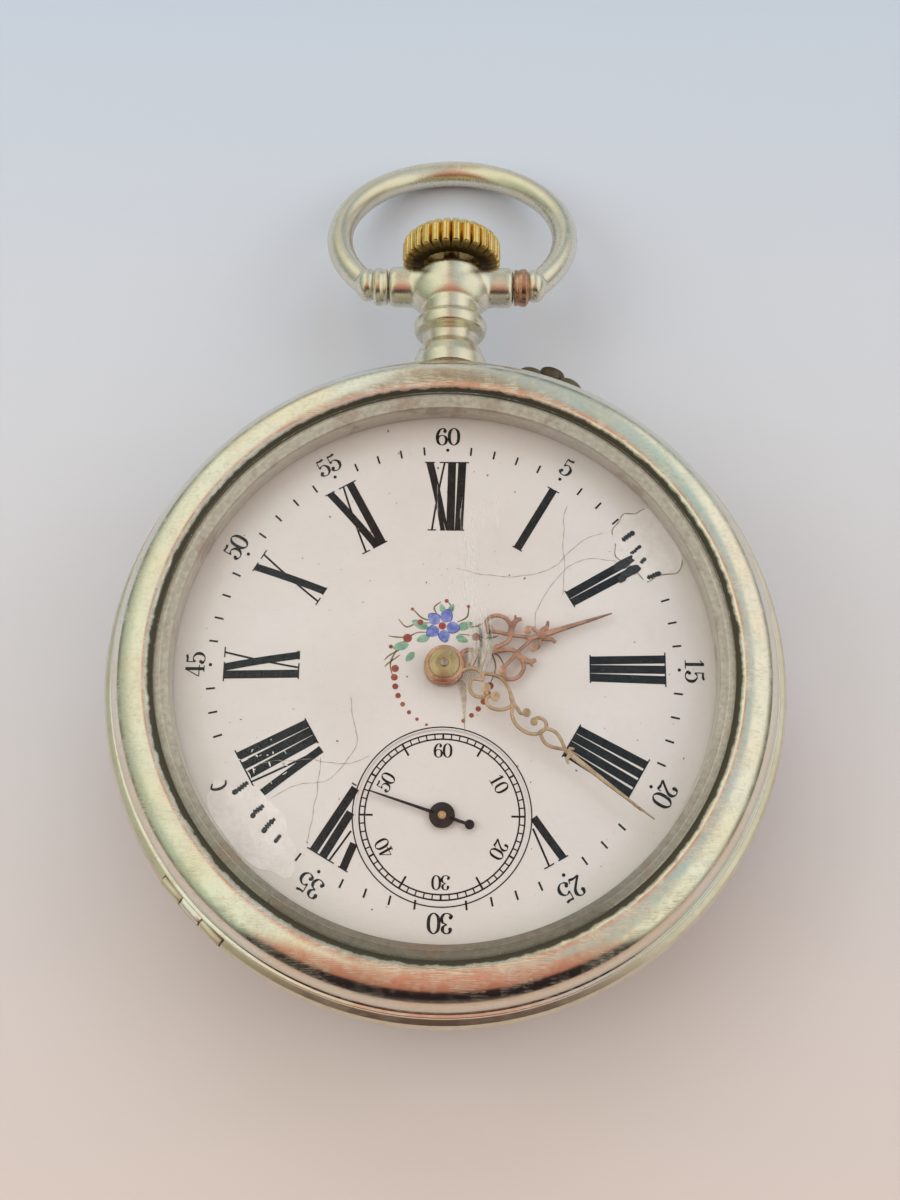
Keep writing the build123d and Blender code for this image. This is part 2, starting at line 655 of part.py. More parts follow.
def centre_wheel():
    low, high = CENTRE_WHEEL_Z
    blank = toothed(CENTRE_TEETH, CENTRE_MODULE, low, high, 0, CENTRE)
    body = spoked(blank, 5.3, 1.4, 5, low, high, CENTRE, 0.4)
    body += toothed(CENTRE_LEAVES, BARREL_MODULE, 6.6, low, CENTRE_PHASE, CENTRE)
    body += rod(0.45, 4.5, 8.85) + rod(0.3, 8.8, 11.8)
    return body


def train_wheel(at, wheel, pinion, staff, spokes):
    """Wheel and pinion on one staff: each is teeth, module, low, high and phase."""
    teeth, module, low, high, phase = wheel
    rim = module * teeth / 2 - 0.6
    body = spoked(toothed(teeth, module, low, high, phase, at), rim, 0.9, spokes,
                  low, high, at, 0.28)
    leaves, leaf_module, leaf_low, leaf_high, leaf_phase = pinion
    body += toothed(leaves, leaf_module, leaf_low, leaf_high, leaf_phase, at)
    return body + staff


def third_wheel():
    return train_wheel(
        THIRD, (THIRD_TEETH, THIRD_MODULE, *THIRD_WHEEL_Z, 0),
        (THIRD_LEAVES, CENTRE_MODULE, 7.4, 8.1, THIRD_PHASE),
        arbor(THIRD, 3.3, 8.7, 0.35, STAFF_PIVOT_R, 0.75), 5)


def fourth_wheel():
    staff = arbor(FOURTH, 3.3, 8.5, 0.35, STAFF_PIVOT_R, 0.75) + rod(0.18, 8.0, 10.95, FOURTH)
    return train_wheel(
        FOURTH, (FOURTH_TEETH, FOURTH_MODULE, *FOURTH_WHEEL_Z, 0),
        (FOURTH_LEAVES, THIRD_MODULE, 4.15, 4.7, FOURTH_PHASE), staff, 5)


def escape_wheel():
    """Wheel with fifteen raking teeth that stop on the pallet stones."""
    outline = []
    for number in range(ESCAPE_TEETH):
        at = 360 / ESCAPE_TEETH * number
        outline += [
            polar(ESCAPE_R - 0.8, at - 7), polar(ESCAPE_R, at - 1.5), polar(ESCAPE_R, at + 1.5),
            polar(ESCAPE_R - 0.75, at + 3),
        ]
    low, high = FORK_Z
    blank = extrude(make_face(Polyline(*outline, close=True)), high - low, dir=(0, 0, 1))
    wheel = Pos(ESCAPE[0], ESCAPE[1], low) * blank
    body = spoked(wheel, 2.2, 0.6, 5, low, high, ESCAPE, 0.2)
    body += toothed(ESCAPE_LEAVES, FOURTH_MODULE, high, 6.0, ESCAPE_PHASE, ESCAPE)
    return body + arbor(ESCAPE, 3.4, 7.8, 0.24, FINE_PIVOT_R, 0.65)


TO_ESCAPE = bearing(PALLET, ESCAPE)
TO_BALANCE = bearing(PALLET, BALANCE)


def pallet_stones():
    """Two ruby stones that stand a hair clear of the escape wheel's tips."""
    stones = []
    for side in (-1, 1):
        spread = 34 * side
        at = polar(ESCAPE_R + 0.45, TO_ESCAPE + 180 + spread, ESCAPE)
        stone = Rot(0, 0, TO_ESCAPE + 180 + spread) * Box(0.7, 0.3, 0.3)
        stones.append(Pos(at[0], at[1], sum(FORK_Z) / 2) * stone)
    return stones


def pallet_fork():
    low, high = FORK_Z
    body = rod(0.5, low, high, PALLET)
    for side in (-1, 1):
        at = polar(ESCAPE_R + 0.62, TO_ESCAPE + 180 + 34 * side, ESCAPE)
        body += arm(PALLET, 0.32, at, 0.28, low, high)
    end = polar(4.2, TO_BALANCE, PALLET)
    body += arm(PALLET, 0.32, end, 0.2, low, high)
    for side in (-1, 1):
        horn = polar(0.45, TO_BALANCE + side * 60, end)
        body += arm(end, 0.16, horn, 0.09, low, high)
    for stone in pallet_stones():
        body -= stone
    return body + arbor(PALLET, 4.3, 7.4, 0.2, FINE_PIVOT_R, 0.25)


def roller():
    body = ring(0.55, 0.25, 4.95, 5.1, BALANCE)
    pin = polar(0.42, TO_BALANCE + 180, BALANCE)
    return body + rod(0.09, 4.7, 5.0, pin)


def balance_wheel():
    low, high = BALANCE_Z
    body = ring(BALANCE_R, BALANCE_R - 0.7, low, high, BALANCE) + rod(0.8, low, high - 0.2, BALANCE)
    arm_end = polar(BALANCE_R - 0.3, 25, BALANCE)
    other = polar(BALANCE_R - 0.3, 205, BALANCE)
    body += arm(arm_end, 0.45, other, 0.46, low, high - 0.25)
    return body - rod(0.25, 3, 5, BALANCE)


def balance_screws():
    """Small timing screws around the balance rim."""
    screws = []
    for angle in range(0, 360, 30):
        head = Rot(0, 90, 0) * Cylinder(0.24, 0.42)
        at = polar(BALANCE_R + 0.225, angle + 10, BALANCE)
        screws.append(Pos(at[0], at[1], 3.62) * Rot(0, 0, angle + 10) * head)
    return screws


def balance_staff():
    body = rod(0.25, 2.8, 6.0, BALANCE) + rod(0.4, 3.9, 4.6, BALANCE)
    return body + rod(FINE_PIVOT_R, 2.2, 7.7, BALANCE)


def hairspring():
    low, high = HAIRSPRING_Z
    collet = ring(0.6, 0.25, low, high + 0.12, BALANCE)
    return collet + spiral(0.6, 0.5, 5.5, 0.09, low, high, BALANCE)


# ---- Winding work ------------------------------------------------------------

RATCHET_PHASE = mesh_phase(0, CROWN_WHEEL_TEETH, RATCHET_TEETH, bearing(CROWN_WHEEL, BARREL))


def crown_wheel():
    """Spur teeth drive the ratchet wheel; the crown of teeth faces the winding pinion."""
    body = toothed(CROWN_WHEEL_TEETH, WINDING_MODULE, *WINDING_Z, 0, CROWN_WHEEL)
    body += ring(2.85, 2.15, 4.1, 5.35, CROWN_WHEEL)
    for number in range(CROWN_WHEEL_TEETH):
        angle = 360 / CROWN_WHEEL_TEETH * number
        x, y = polar(2.5, angle, CROWN_WHEEL)
        body += Pos(x, y, 5.42) * Rot(0, 0, angle) * Box(0.7, 0.3, 0.3)
    return body - rod(1.2 + FIT, 3, 6, CROWN_WHEEL)


def crown_wheel_core():
    return rod(1.2, 3.75, PLATE_Z[0], CROWN_WHEEL) + rod(1.7, 3.5, 3.75, CROWN_WHEEL)


def ratchet_wheel():
    body = toothed(RATCHET_TEETH, WINDING_MODULE, *WINDING_Z, RATCHET_PHASE, BARREL)
    half = 0.5 + 0.01
    x = (BARREL[0] - half, BARREL[0] + half)
    y = (BARREL[1] - half, BARREL[1] + half)
    return body - block(x, y, (3, 5))


def ratchet_screw():
    return screw(BARREL, 3.4, 4.9, 1.3, 0.25)


CLICK = polar(RATCHET_R + 1.75, 205, BARREL)
CLICK_TIP = polar(RATCHET_R + 0.62, 216, BARREL)
SPRING_FOOT = polar(3.4, 150, CLICK)


def click():
    body = rod(0.9, *CLICK_Z, CLICK) + arm(CLICK, 0.5, CLICK_TIP, 0.16, *CLICK_Z)
    return body - rod(0.4 + FIT, 3, 5, CLICK)


def click_spring():
    end = polar(1.15, 150, CLICK)
    return arm(SPRING_FOOT, 0.5, end, 0.12, 3.85, 4.1) - rod(0.25, 3, 5, SPRING_FOOT)


def click_screws():
    return [screw(CLICK, 3.5, 4.9, 0.8, 0.4, 0.33), screw(SPRING_FOOT, 3.5, 4.9, 0.5, 0.25, 0.33)]


YOKE = polar(17.0, 62)


def setting_lever():
    """Yoke that the button rocks to slide the clutch wheel along the stem."""
    return arm(YOKE, 0.8, polar(3.2, 175, YOKE), 0.3, 5.75, 6.05) - rod(0.35 + FIT, 5, 7, YOKE)


# ---- Plates, bridges and cocks -----------------------------------------------

def main_plate():
    low, high = PLATE_Z
    body = rod(PLATE_R, low, high) + rod(20.55, 8.35, high)
    body += ring(20.1, 18.9, high - 0.1, DIAL_Z - DIAL_THICK - 0.02)
    body -= rod(8.5, low - 1, 7.4, BARREL) + rod(6.4, low - 1, 8.1)
    body -= rod(0.4 + FIT, 7, 8.4, BARREL)
    body -= rod(0.45 + FIT, 7, 10)
    body -= rod(1.2, 6, 8.3, THIRD) + rod(0.5, 6, 8.4, FOURTH)
    for at in (THIRD, FOURTH):
        body -= rod(0.75, 8.3, 9.5, at)
    for at in (ESCAPE, PALLET, BALANCE):
        body -= rod(0.6, 6, 9.5, at)
    body -= along_y(Cylinder(1.0, 9), 21)
    body -= along_y(Cylinder(2.1, 4.2), 15.6) + along_y(Cylinder(0.4 + FIT, 2.4), 12.9)
    body -= block((-2.1, 2.1), (13.3, 18.0), (5, AXIS_Z))
    body -= outward(PIN_SIDE, 20, AXIS_Z) * Rot(0, 90, 0) * Cylinder(0.8, 7)
    for at in DIAL_FEET:
        body -= rod(0.42, low - 1, 10, at)
    for at in BRIDGE_SCREWS + TRAIN_SCREWS + CASE_SCREWS + [COCK_FOOT, PALLET_FOOT]:
        body -= rod(0.47, low - 1, low + 1.3, at)
    for at in (MINUTE_WHEEL, SETTING):
        body += rod(0.3, high - 0.3, 9.55, at)
    return body + rod(0.35, 5.7, 6.6, YOKE)


def balance_room(spare=0.65):
    return rod(BALANCE_R + spare, 0, 6.5, BALANCE)


def barrel_bridge():
    """Broad bridge over the barrel and the centre wheel, on a raised rim."""
    low, high = BRIDGE_Z
    cap = rod(BRIDGE_R, low, high)
    body = cap + ring(BRIDGE_R, 16.4, low, PLATE_Z[0])
    body -= block((-30, 30), (-30, -1.3), (0, 10))
    body -= balance_room()
    body -= rod(5.75, low - 1, high + 1, THIRD)
    body -= rod(CROWN_WHEEL_R - 0.5, low - 1, high + 1, CROWN_WHEEL)
    body -= block((-2.2, 2.2), (12.9, 18.4), (high, 8)) + rod(8.55, high + 0.02, 8, BARREL)
    body -= rod(5.9, high + 0.02, 8, polar(17.0, 66))
    body -= rod(0.55 + FIT, 3, 6, BARREL) + rod(0.45 + FIT, 3, 6)
    body -= rod(0.42, 3.0, 5.3, CLICK) + rod(0.3, 3, 5.3, SPRING_FOOT)
    return drill(body, BRIDGE_SCREWS)


def train_bridge():
    """Bridge that carries the third, fourth and escape pivots."""
    low, high = TRAIN_BRIDGE_Z
    body = rod(BRIDGE_R, low, high) + ring(BRIDGE_R, 16.4, low, PLATE_Z[0])
    body -= block((-30, 30), (-1.6, 30), (0, 10))
    body -= balance_room()
    body -= rod(2.3, 0, 10, COCK_FOOT)
    body -= rod(RATCHET_R + 0.6, low - 1, high + 1, BARREL)
    body -= rod(1.6, low - 1, high + 1, CLICK) + rod(0.8, 0, 5, SPRING_FOOT)
    body -= arm(CLICK, 1.6, SPRING_FOOT, 0.9, low - 1, high + 1)
    body -= rod(1.1, low - 1, high + 1, PALLET_FOOT)
    for at in PIVOTS:
        body -= rod(0.75, low - 1, high + 1, at)
    return drill(biggest(body), TRAIN_SCREWS)


def drill(body, places):
    """Clearance holes for the bridge screws and room for the heads of the case screws."""
    for at in places:
        body -= rod(0.47, 0, 8, at)
    for at in CASE_SCREWS:
        body -= rod(1.1, 3, 8, at)
    return body


def biggest(shape):
    """Largest solid of a shape that cutting has split."""
    return max(shape.solids(), key=lambda solid: solid.volume)


def pallet_cock():
    low, high = PALLET_COCK_Z
    body = arm(PALLET_FOOT, 1.0, PALLET, 0.95, low, high) + rod(1.0, low, PLATE_Z[0], PALLET_FOOT)
    return body - rod(0.6, 3, 7, PALLET) - rod(0.47, 3, 7, PALLET_FOOT)


def balance_cock():
    low, high = COCK_Z
    body = arm(COCK_FOOT, 1.8, BALANCE, 2.2, low, high) + rod(1.8, low, PLATE_Z[0], COCK_FOOT)
    stud = polar(3.35, -60, BALANCE)
    body += arm(BALANCE, 0.6, stud, 0.45, low, high) + rod(0.3, high - 0.1, 3.1, stud)
    body -= rod(1.05, 1, 2.38, COCK_FOOT) + rod(0.47, 1, 8, COCK_FOOT)
    return body - rod(0.6, 1, 4, BALANCE)


def regulator():
    """Index lever over the cock's jewel, with a pin beside the hairspring."""
    low, high = 1.9, 1.98
    tip = polar(5.2, REGULATOR_ANGLE, BALANCE)
    body = rod(1.5, low, high, BALANCE) + arm(BALANCE, 0.5, tip, 0.12, low, high)
    return body - rod(0.65, 1, 3, BALANCE)


def jewel(at, outer, low, high, pivot):
    """Ruby bearing with a hole for a pivot."""
    return ring(outer, pivot + FIT / 2, low, high, at)


def jewels():
    stones = [jewel(at, 0.75, 3.35, 4.0, STAFF_PIVOT_R) for at in (THIRD, FOURTH)]
    stones += [jewel(at, 0.75, 8.35, 8.85, STAFF_PIVOT_R) for at in (THIRD, FOURTH)]
    stones.append(jewel(ESCAPE, 0.75, 3.35, 4.0, FINE_PIVOT_R))
    stones += [jewel(at, 0.6, 7.2, 8.2, FINE_PIVOT_R) for at in (ESCAPE, PALLET, BALANCE)]
    stones.append(jewel(PALLET, 0.6, 4.15, 4.5, FINE_PIVOT_R))
    stones.append(jewel(BALANCE, 0.6, 2.0, 2.6, FINE_PIVOT_R))
    return stones


# ---- Assembly ----------------------------------------------------------------

CASE_MIDDLE = case_middle()
keep("case_middle", CASE_MIDDLE)
keep("pendant", pendant(CASE_MIDDLE))
keep("bow", bow())
keep("bow_collars", bow_collar(-1), bow_collar(1))
keep("crown", crown())
keep("winding_stem", winding_stem())
keep("winding_pinion", winding_pinion())
keep("clutch_wheel", clutch_wheel())
keep("pin_button", pin_button())
keep("pin_guard", pin_guard())
keep("pin_spring", pin_spring())
keep("setting_lever", setting_lever())
keep("bezel", bezel())
keep("crystal", crystal())
keep("back_cover", back_cover())
keep("cuvette", cuvette())
for hinge_name in HINGES:
    keep(hinge_name + "_hinge_pin", hinge_pin(hinge_name))
keep("case_screws", *[screw(at, 5.64, 7.4, 0.95, 0.45) for at in CASE_SCREWS])

keep("dial", dial())
keep("dial_feet", *[rod(0.4, 7.4, DIAL_Z - DIAL_THICK, at) for at in DIAL_FEET])
keep("hour_hand", hour_hand())
keep("minute_hand", minute_hand())
keep("seconds_hand", seconds_hand())
keep("cannon_pinion", cannon_pinion())
keep("hour_wheel", hour_wheel())
keep("minute_wheel", minute_wheel())
keep("setting_wheel", setting_wheel())

keep("main_plate", main_plate())
keep("barrel_bridge", barrel_bridge())
keep("train_bridge", train_bridge())
keep("pallet_cock", pallet_cock())
keep("balance_cock", balance_cock())
keep("regulator", regulator())
keep("jewels", *jewels())
keep("bridge_screws",
     *[screw(at, BRIDGE_Z[0] - 0.35, BRIDGE_SCREW_Z) for at in BRIDGE_SCREWS],
     *[screw(at, TRAIN_BRIDGE_Z[0] - 0.35, BRIDGE_SCREW_Z) for at in TRAIN_SCREWS],
     screw(COCK_FOOT, 2.02, BRIDGE_SCREW_Z, 1.0),
     screw(PALLET_FOOT, PALLET_COCK_Z[0] - 0.35, BRIDGE_SCREW_Z, 0.8))

keep("mainspring_barrel", mainspring_barrel())
keep("barrel_cover", barrel_cover())
keep("barrel_arbor", barrel_arbor())
keep("mainspring", spiral(1.6, 0.9, 6, 0.3, 5.75, 6.85, BARREL))
keep("ratchet_wheel", ratchet_wheel())
keep("ratchet_screw", ratchet_screw())
keep("crown_wheel", crown_wheel())
keep("crown_wheel_core", crown_wheel_core())
keep("click", click())
keep("click_spring", click_spring())
keep("click_screws", *click_screws())
keep("centre_wheel", centre_wheel())
keep("third_wheel", third_wheel())
keep("fourth_wheel", fourth_wheel())
keep("escape_wheel", escape_wheel())
keep("pallet_fork", pallet_fork())
keep("pallet_stones", *pallet_stones())
keep("roller", roller())
keep("balance_wheel", balance_wheel())
keep("balance_screws", *balance_screws())
keep("balance_staff", balance_staff())
keep("hairspring", hairspring())

os.makedirs("parts", exist_ok=True)
for part_name, shape in PARTS.items():
    export_step(shape, f"parts/{part_name}.step")
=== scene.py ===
"""Nickel-cased pocket watch with a painted enamel dial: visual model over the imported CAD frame."""

import random
from math import atan2, ceil, cos, degrees, hypot, pi, radians, sin, sqrt, tan

import bmesh
import bpy
from mathutils import Matrix, Vector


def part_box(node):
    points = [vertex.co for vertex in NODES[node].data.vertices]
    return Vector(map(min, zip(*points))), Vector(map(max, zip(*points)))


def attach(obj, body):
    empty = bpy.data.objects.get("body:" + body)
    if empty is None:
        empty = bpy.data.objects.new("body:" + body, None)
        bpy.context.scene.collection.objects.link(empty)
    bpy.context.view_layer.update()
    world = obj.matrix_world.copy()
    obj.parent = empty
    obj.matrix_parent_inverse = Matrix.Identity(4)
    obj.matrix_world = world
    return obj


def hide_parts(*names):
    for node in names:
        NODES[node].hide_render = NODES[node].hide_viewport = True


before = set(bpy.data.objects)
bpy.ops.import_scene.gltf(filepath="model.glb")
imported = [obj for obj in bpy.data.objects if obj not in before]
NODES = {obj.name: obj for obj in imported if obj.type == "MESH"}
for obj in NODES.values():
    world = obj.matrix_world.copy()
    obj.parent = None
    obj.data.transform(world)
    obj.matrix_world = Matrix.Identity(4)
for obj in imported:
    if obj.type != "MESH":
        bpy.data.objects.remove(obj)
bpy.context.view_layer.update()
MM = 0.001

# ---- Driving dimensions, in millimetres ----------------------------------------------------------
DIAL_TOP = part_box("dial")[1][2] / MM
DIAL_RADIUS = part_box("dial")[1][0] / MM
CASE_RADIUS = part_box("case_middle")[1][0] / MM
GLASS_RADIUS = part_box("crystal")[1][0] / MM
COVER_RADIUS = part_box("back_cover")[1][0] / MM
WALL_RADIUS = 19.5
SUBDIAL = (0.0, -10.65)
SUBDIAL_RADIUS = 6.13
SUBDIAL_DEPTH = 0.12
AXIS_Z = 7.6
PIVOT_Y = 32.4
CROWN_FLUTES = 28
STEM_HOLE = 1.0
BOW_RADIUS = 9.45
BOW_WIRE = 1.075
BOW_OFFSET = 6.9
BOW_DROP = 23.4
HINGE_SIDE = 225.0
PIN_SIDE = 18.2
HOUR_ANGLE = 71.5
MINUTE_ANGLE = 126.5
SECONDS_ANGLE = 288.0
MINUTE_TRACK = (16.55, 17.2)
FIGURE_RADIUS, FIGURE_HEIGHT = 17.3, 1.42
SECONDS_RINGS = (5.8, 5.42)
PRINT_LOW = DIAL_TOP - 0.01
PRINT_HIGH = DIAL_TOP + 0.012
# each hinge's distance from the watch's axis, height, knuckle radius and half length
HINGES = {
    "bezel": (24.42, 9.22, 0.42, 3.0),
    "back": (24.45, 4.95, 0.5, 3.6),
    "cuvette": (22.35, 4.85, 0.4, 2.6),
}


# ---- Mesh building: a shape is (points, faces), in millimetres -----------------------------------
def join(*shapes):
    """Several shapes as one."""
    points, faces = [], []
    for shape in shapes:
        start = len(points)
        points += shape[0]
        faces += [tuple(start + i for i in face) for face in shape[1]]
    return points, faces


def moved(shape, matrix):
    return [tuple(matrix @ Vector(p)) for p in shape[0]], shape[1]


def shift(x, y, z=0.0):
    return Matrix.Translation((x, y, z))


def clockwise(angle):
    """Turn about Z, clockwise from twelve."""
    return Matrix.Rotation(-radians(angle), 4, "Z")


def upright():
    """Takes a shape turned about Z onto the stem's axis, with Z going to +Y."""
    return shift(0, 0, AXIS_Z) @ Matrix.Rotation(-pi / 2, 4, "X")


def rounded(corners, steps=6):
    """Closed section through corners (radius, height, fillet)."""
    points = []
    count = len(corners)
    for i, (x, y, fillet) in enumerate(corners):
        here = Vector((x, y))
        before = Vector(corners[i - 1][:2]) - here
        after = Vector(corners[(i + 1) % count][:2]) - here
        if fillet <= 0:
            points.append((x, y))
            continue
        half = before.angle(after) / 2
        reach = min(fillet / tan(half), 0.49 * before.length, 0.49 * after.length)
        radius = reach * tan(half)
        start = here + before.normalized() * reach
        middle = here + (before.normalized() + after.normalized()).normalized() * radius / sin(half)
        spread = (start - middle).angle_signed(here + after.normalized() * reach - middle)
        for k in range(steps + 1):
            arm = (start - middle).copy()
            arm.rotate(Matrix.Rotation(-spread * k / steps, 2))
            points.append(tuple(middle + arm))
    return points


def densified(points, longest):
    """The same closed section with no run longer than that."""
    result = []
    for i, here in enumerate(points):
        ahead = points[(i + 1) % len(points)]
        count = max(1, ceil(hypot(ahead[0] - here[0], ahead[1] - here[1]) / longest))
        for k in range(count):
            share = k / count
            result.append((here[0] + (ahead[0] - here[0]) * share, here[1] + (ahead[1] - here[1]) * share))
    return result


def lathe(section, segments=256, form=None):
    """Closed section (radius, height) turned about Z. form may change a radius by angle."""
    points, faces = [], []
    count = len(section)
    for k in range(segments):
        angle = 2 * pi * k / segments
        for radius, height in section:
            real = form(radius, angle) if form else radius
            points.append((real * sin(angle), real * cos(angle), height))
    for k in range(segments):
        ring, ahead = k * count, (k + 1) % segments * count
        for i in range(count):
            j = (i + 1) % count
            faces.append((ring + i, ring + j, ahead + j, ahead + i))
    return points, faces


def curve(knots, steps=8, closed=False):
    """Smooth line through the knots."""
    count = len(knots)
    points = []
    last = count if closed else count - 1
    for i in range(last):
        a = knots[i - 1] if closed or i else knots[0]
        b, c = knots[i], knots[(i + 1) % count]
        d = knots[(i + 2) % count] if closed or i + 2 < count else knots[-1]
        for k in range(steps):
            t = k / steps
            points.append(tuple(
                0.5 * (2 * q + (r - p) * t + (2 * p - 5 * q + 4 * r - s) * t * t
                       + (3 * q - p - 3 * r + s) * t**3)
                for p, q, r, s in zip(a, b, c, d)
            ))
    if not closed:
        points.append(tuple(knots[-1]))
    return points


def strip(line, widths, low, high, bevel=0.0, closed=False):
    """Flat band along a line of (x, y), with its own width at each point and an optional bevel."""
    count = len(line)
    points, faces = [], []
    section = 6 if bevel else 4
    for i, (x, y) in enumerate(line):
        ahead = line[(i + 1) % count] if closed or i + 1 < count else line[i]
        behind = line[i - 1] if closed or i else line[i]
        run = Vector((ahead[0] - behind[0], ahead[1] - behind[1]))
        side = Vector((run.y, -run.x)).normalized()
        half = widths[i] / 2
        inner = max(half - bevel, half * 0.3)
        rows = [(-half, low), (half, low), (half, high)]
        if bevel:
            rows[2:] = [(half, high - bevel), (inner, high), (-inner, high), (-half, high - bevel)]
        else:
            rows.append((-half, high))
        points += [(x + side.x * across, y + side.y * across, z) for across, z in rows]
    for i in range(count if closed else count - 1):
        here, ahead = i * section, (i + 1) % count * section
        for k in range(section):
            j = (k + 1) % section
            faces.append((here + k, ahead + k, ahead + j, here + j))
    if not closed:
        faces.append(tuple(range(section)))
        faces.append(tuple(reversed(range((count - 1) * section, count * section))))
    return points, faces


def bar(start, end, width, low, high, bevel=0.0):
    """Straight band between two places."""
    return strip([start, end], [width, width], low, high, bevel)


def plate(outline, low, high, crown=0.0):
    """Filled closed outline, star-shaped about its middle, with an optional raised middle."""
    count = len(outline)
    x = sum(p[0] for p in outline) / count
    y = sum(p[1] for p in outline) / count
    points = [(px, py, low) for px, py in outline] + [(px, py, high) for px, py in outline]
    rings = [1.0]
    if crown:
        rings = [0.8, 0.5]
        for share in rings:
            rise = high + crown * (1 - share * share)
            points += [(x + (px - x) * share, y + (py - y) * share, rise) for px, py in outline]
    top = len(points) - count
    points += [(x, y, low), (x, y, high + crown)]
    faces = []
    for i in range(count):
        j = (i + 1) % count
        faces.append((i, j, count + j, count + i))
        faces.append((j, i, len(points) - 2))
        if crown:
            for level in (1, 2):
                a, b = level * count, (level + 1) * count
                faces.append((a + i, a + j, b + j, b + i))
        faces.append((top + i, top + j, len(points) - 1))
    return points, faces


def disc(at, radius, low, high, crown=0.0, sides=28):
    ring = [(at[0] + radius * cos(2 * pi * k / sides), at[1] + radius * sin(2 * pi * k / sides))
            for k in range(sides)]
    return plate(ring, low, high, crown)


def tube(line, radii, sides=40):
    """Round wire along a line of 3-D points, with its own radius at each point and closed ends."""
    points, faces = [], []
    side = None
    for i, here in enumerate(line):
        ahead = Vector(line[min(i + 1, len(line) - 1)]) - Vector(line[max(i - 1, 0)])
        ahead.normalize()
        if side is None:
            side = ahead.orthogonal().normalized()
        side = (side - ahead * side.dot(ahead)).normalized()
        up = ahead.cross(side)
        for k in range(sides):
            a = 2 * pi * k / sides
            points.append(tuple(Vector(here) + (side * cos(a) + up * sin(a)) * radii[i]))
    for i in range(len(line) - 1):
        for k in range(sides):
            j = (k + 1) % sides
            a, b = i * sides, (i + 1) * sides
            faces.append((a + k, a + j, b + j, b + k))
    faces.append(tuple(reversed(range(sides))))
    faces.append(tuple(range((len(line) - 1) * sides, len(line) * sides)))
    return points, faces


def box_shape(x, y, z):
    """Box between the pairs x, y and z."""
    points = [(a, b, c) for a in x for b in y for c in z]
    faces = [(0, 1, 3, 2), (4, 6, 7, 5), (0, 4, 5, 1), (2, 3, 7, 6), (0, 2, 6, 4), (1, 5, 7, 3)]
    return points, faces


def rod(radius, low, high, sides=64, edge=0.0):
    corners = [(0, low, 0), (radius, low, edge), (radius, high, edge), (0, high, 0)]
    return lathe(rounded(corners, 3), sides)


def to_mesh(name, shape):
    """A clean mesh in millimetres, with its faces turned outwards."""
    mesh = bpy.data.meshes.new(name)
    mesh.from_pydata(shape[0], [], shape[1])
    work = bmesh.new()
    work.from_mesh(mesh)
    bmesh.ops.remove_doubles(work, verts=work.verts, dist=1e-5)
    bmesh.ops.dissolve_degenerate(work, edges=work.edges, dist=1e-6)
    bmesh.ops.recalc_face_normals(work, faces=work.faces)
    work.to_mesh(mesh)
    work.free()
    return mesh


def placed(name, shape):
    """A shape as an object in the scene, for modifiers to work on."""
    item = bpy.data.objects.new(name, to_mesh(name, shape))
    bpy.context.scene.collection.objects.link(item)
    return item


def baked(item):
    """The shape that an object has after its modifiers."""
    mesh = bpy.data.meshes.new_from_object(item.evaluated_get(bpy.context.evaluated_depsgraph_get()))
    return [tuple(v.co) for v in mesh.vertices], [tuple(p.vertices) for p in mesh.polygons]


def combined(base, tool, operation):
    """DIFFERENCE, UNION or INTERSECT of two shapes."""
    first, second = placed("base", base), placed("tool", tool)
    step = first.modifiers.new("join", "BOOLEAN")
    step.operation = operation
    step.object = second
    step.solver = "MANIFOLD"
    shape = baked(first)
    for item in (first, second):
        bpy.data.objects.remove(item)
    return shape


def cut(base, tool):
    return combined(base, tool, "DIFFERENCE")


def added(base, tool):
    return combined(base, tool, "UNION")


def piece(name, shape, material, body, replaced=(), sharp=32):
    """Makes a shape into a piece of the watch that rides on a body."""
    mesh = to_mesh(name, shape)
    mesh.transform(Matrix.Scale(MM, 4))
    mesh.polygons.foreach_set("use_smooth", [True] * len(mesh.polygons))
    mesh.set_sharp_from_angle(angle=radians(sharp))
    mesh.materials.append(material)
    item = bpy.data.objects.new(name, mesh)
    bpy.context.scene.collection.objects.link(item)
    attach(item, body)
    if replaced:
        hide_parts(*replaced)
    return item


def on_dial(name, parts, material):
    """Print, paint or dirt that lies on the dial."""
    piece(name, join(*parts), material, "case", ())


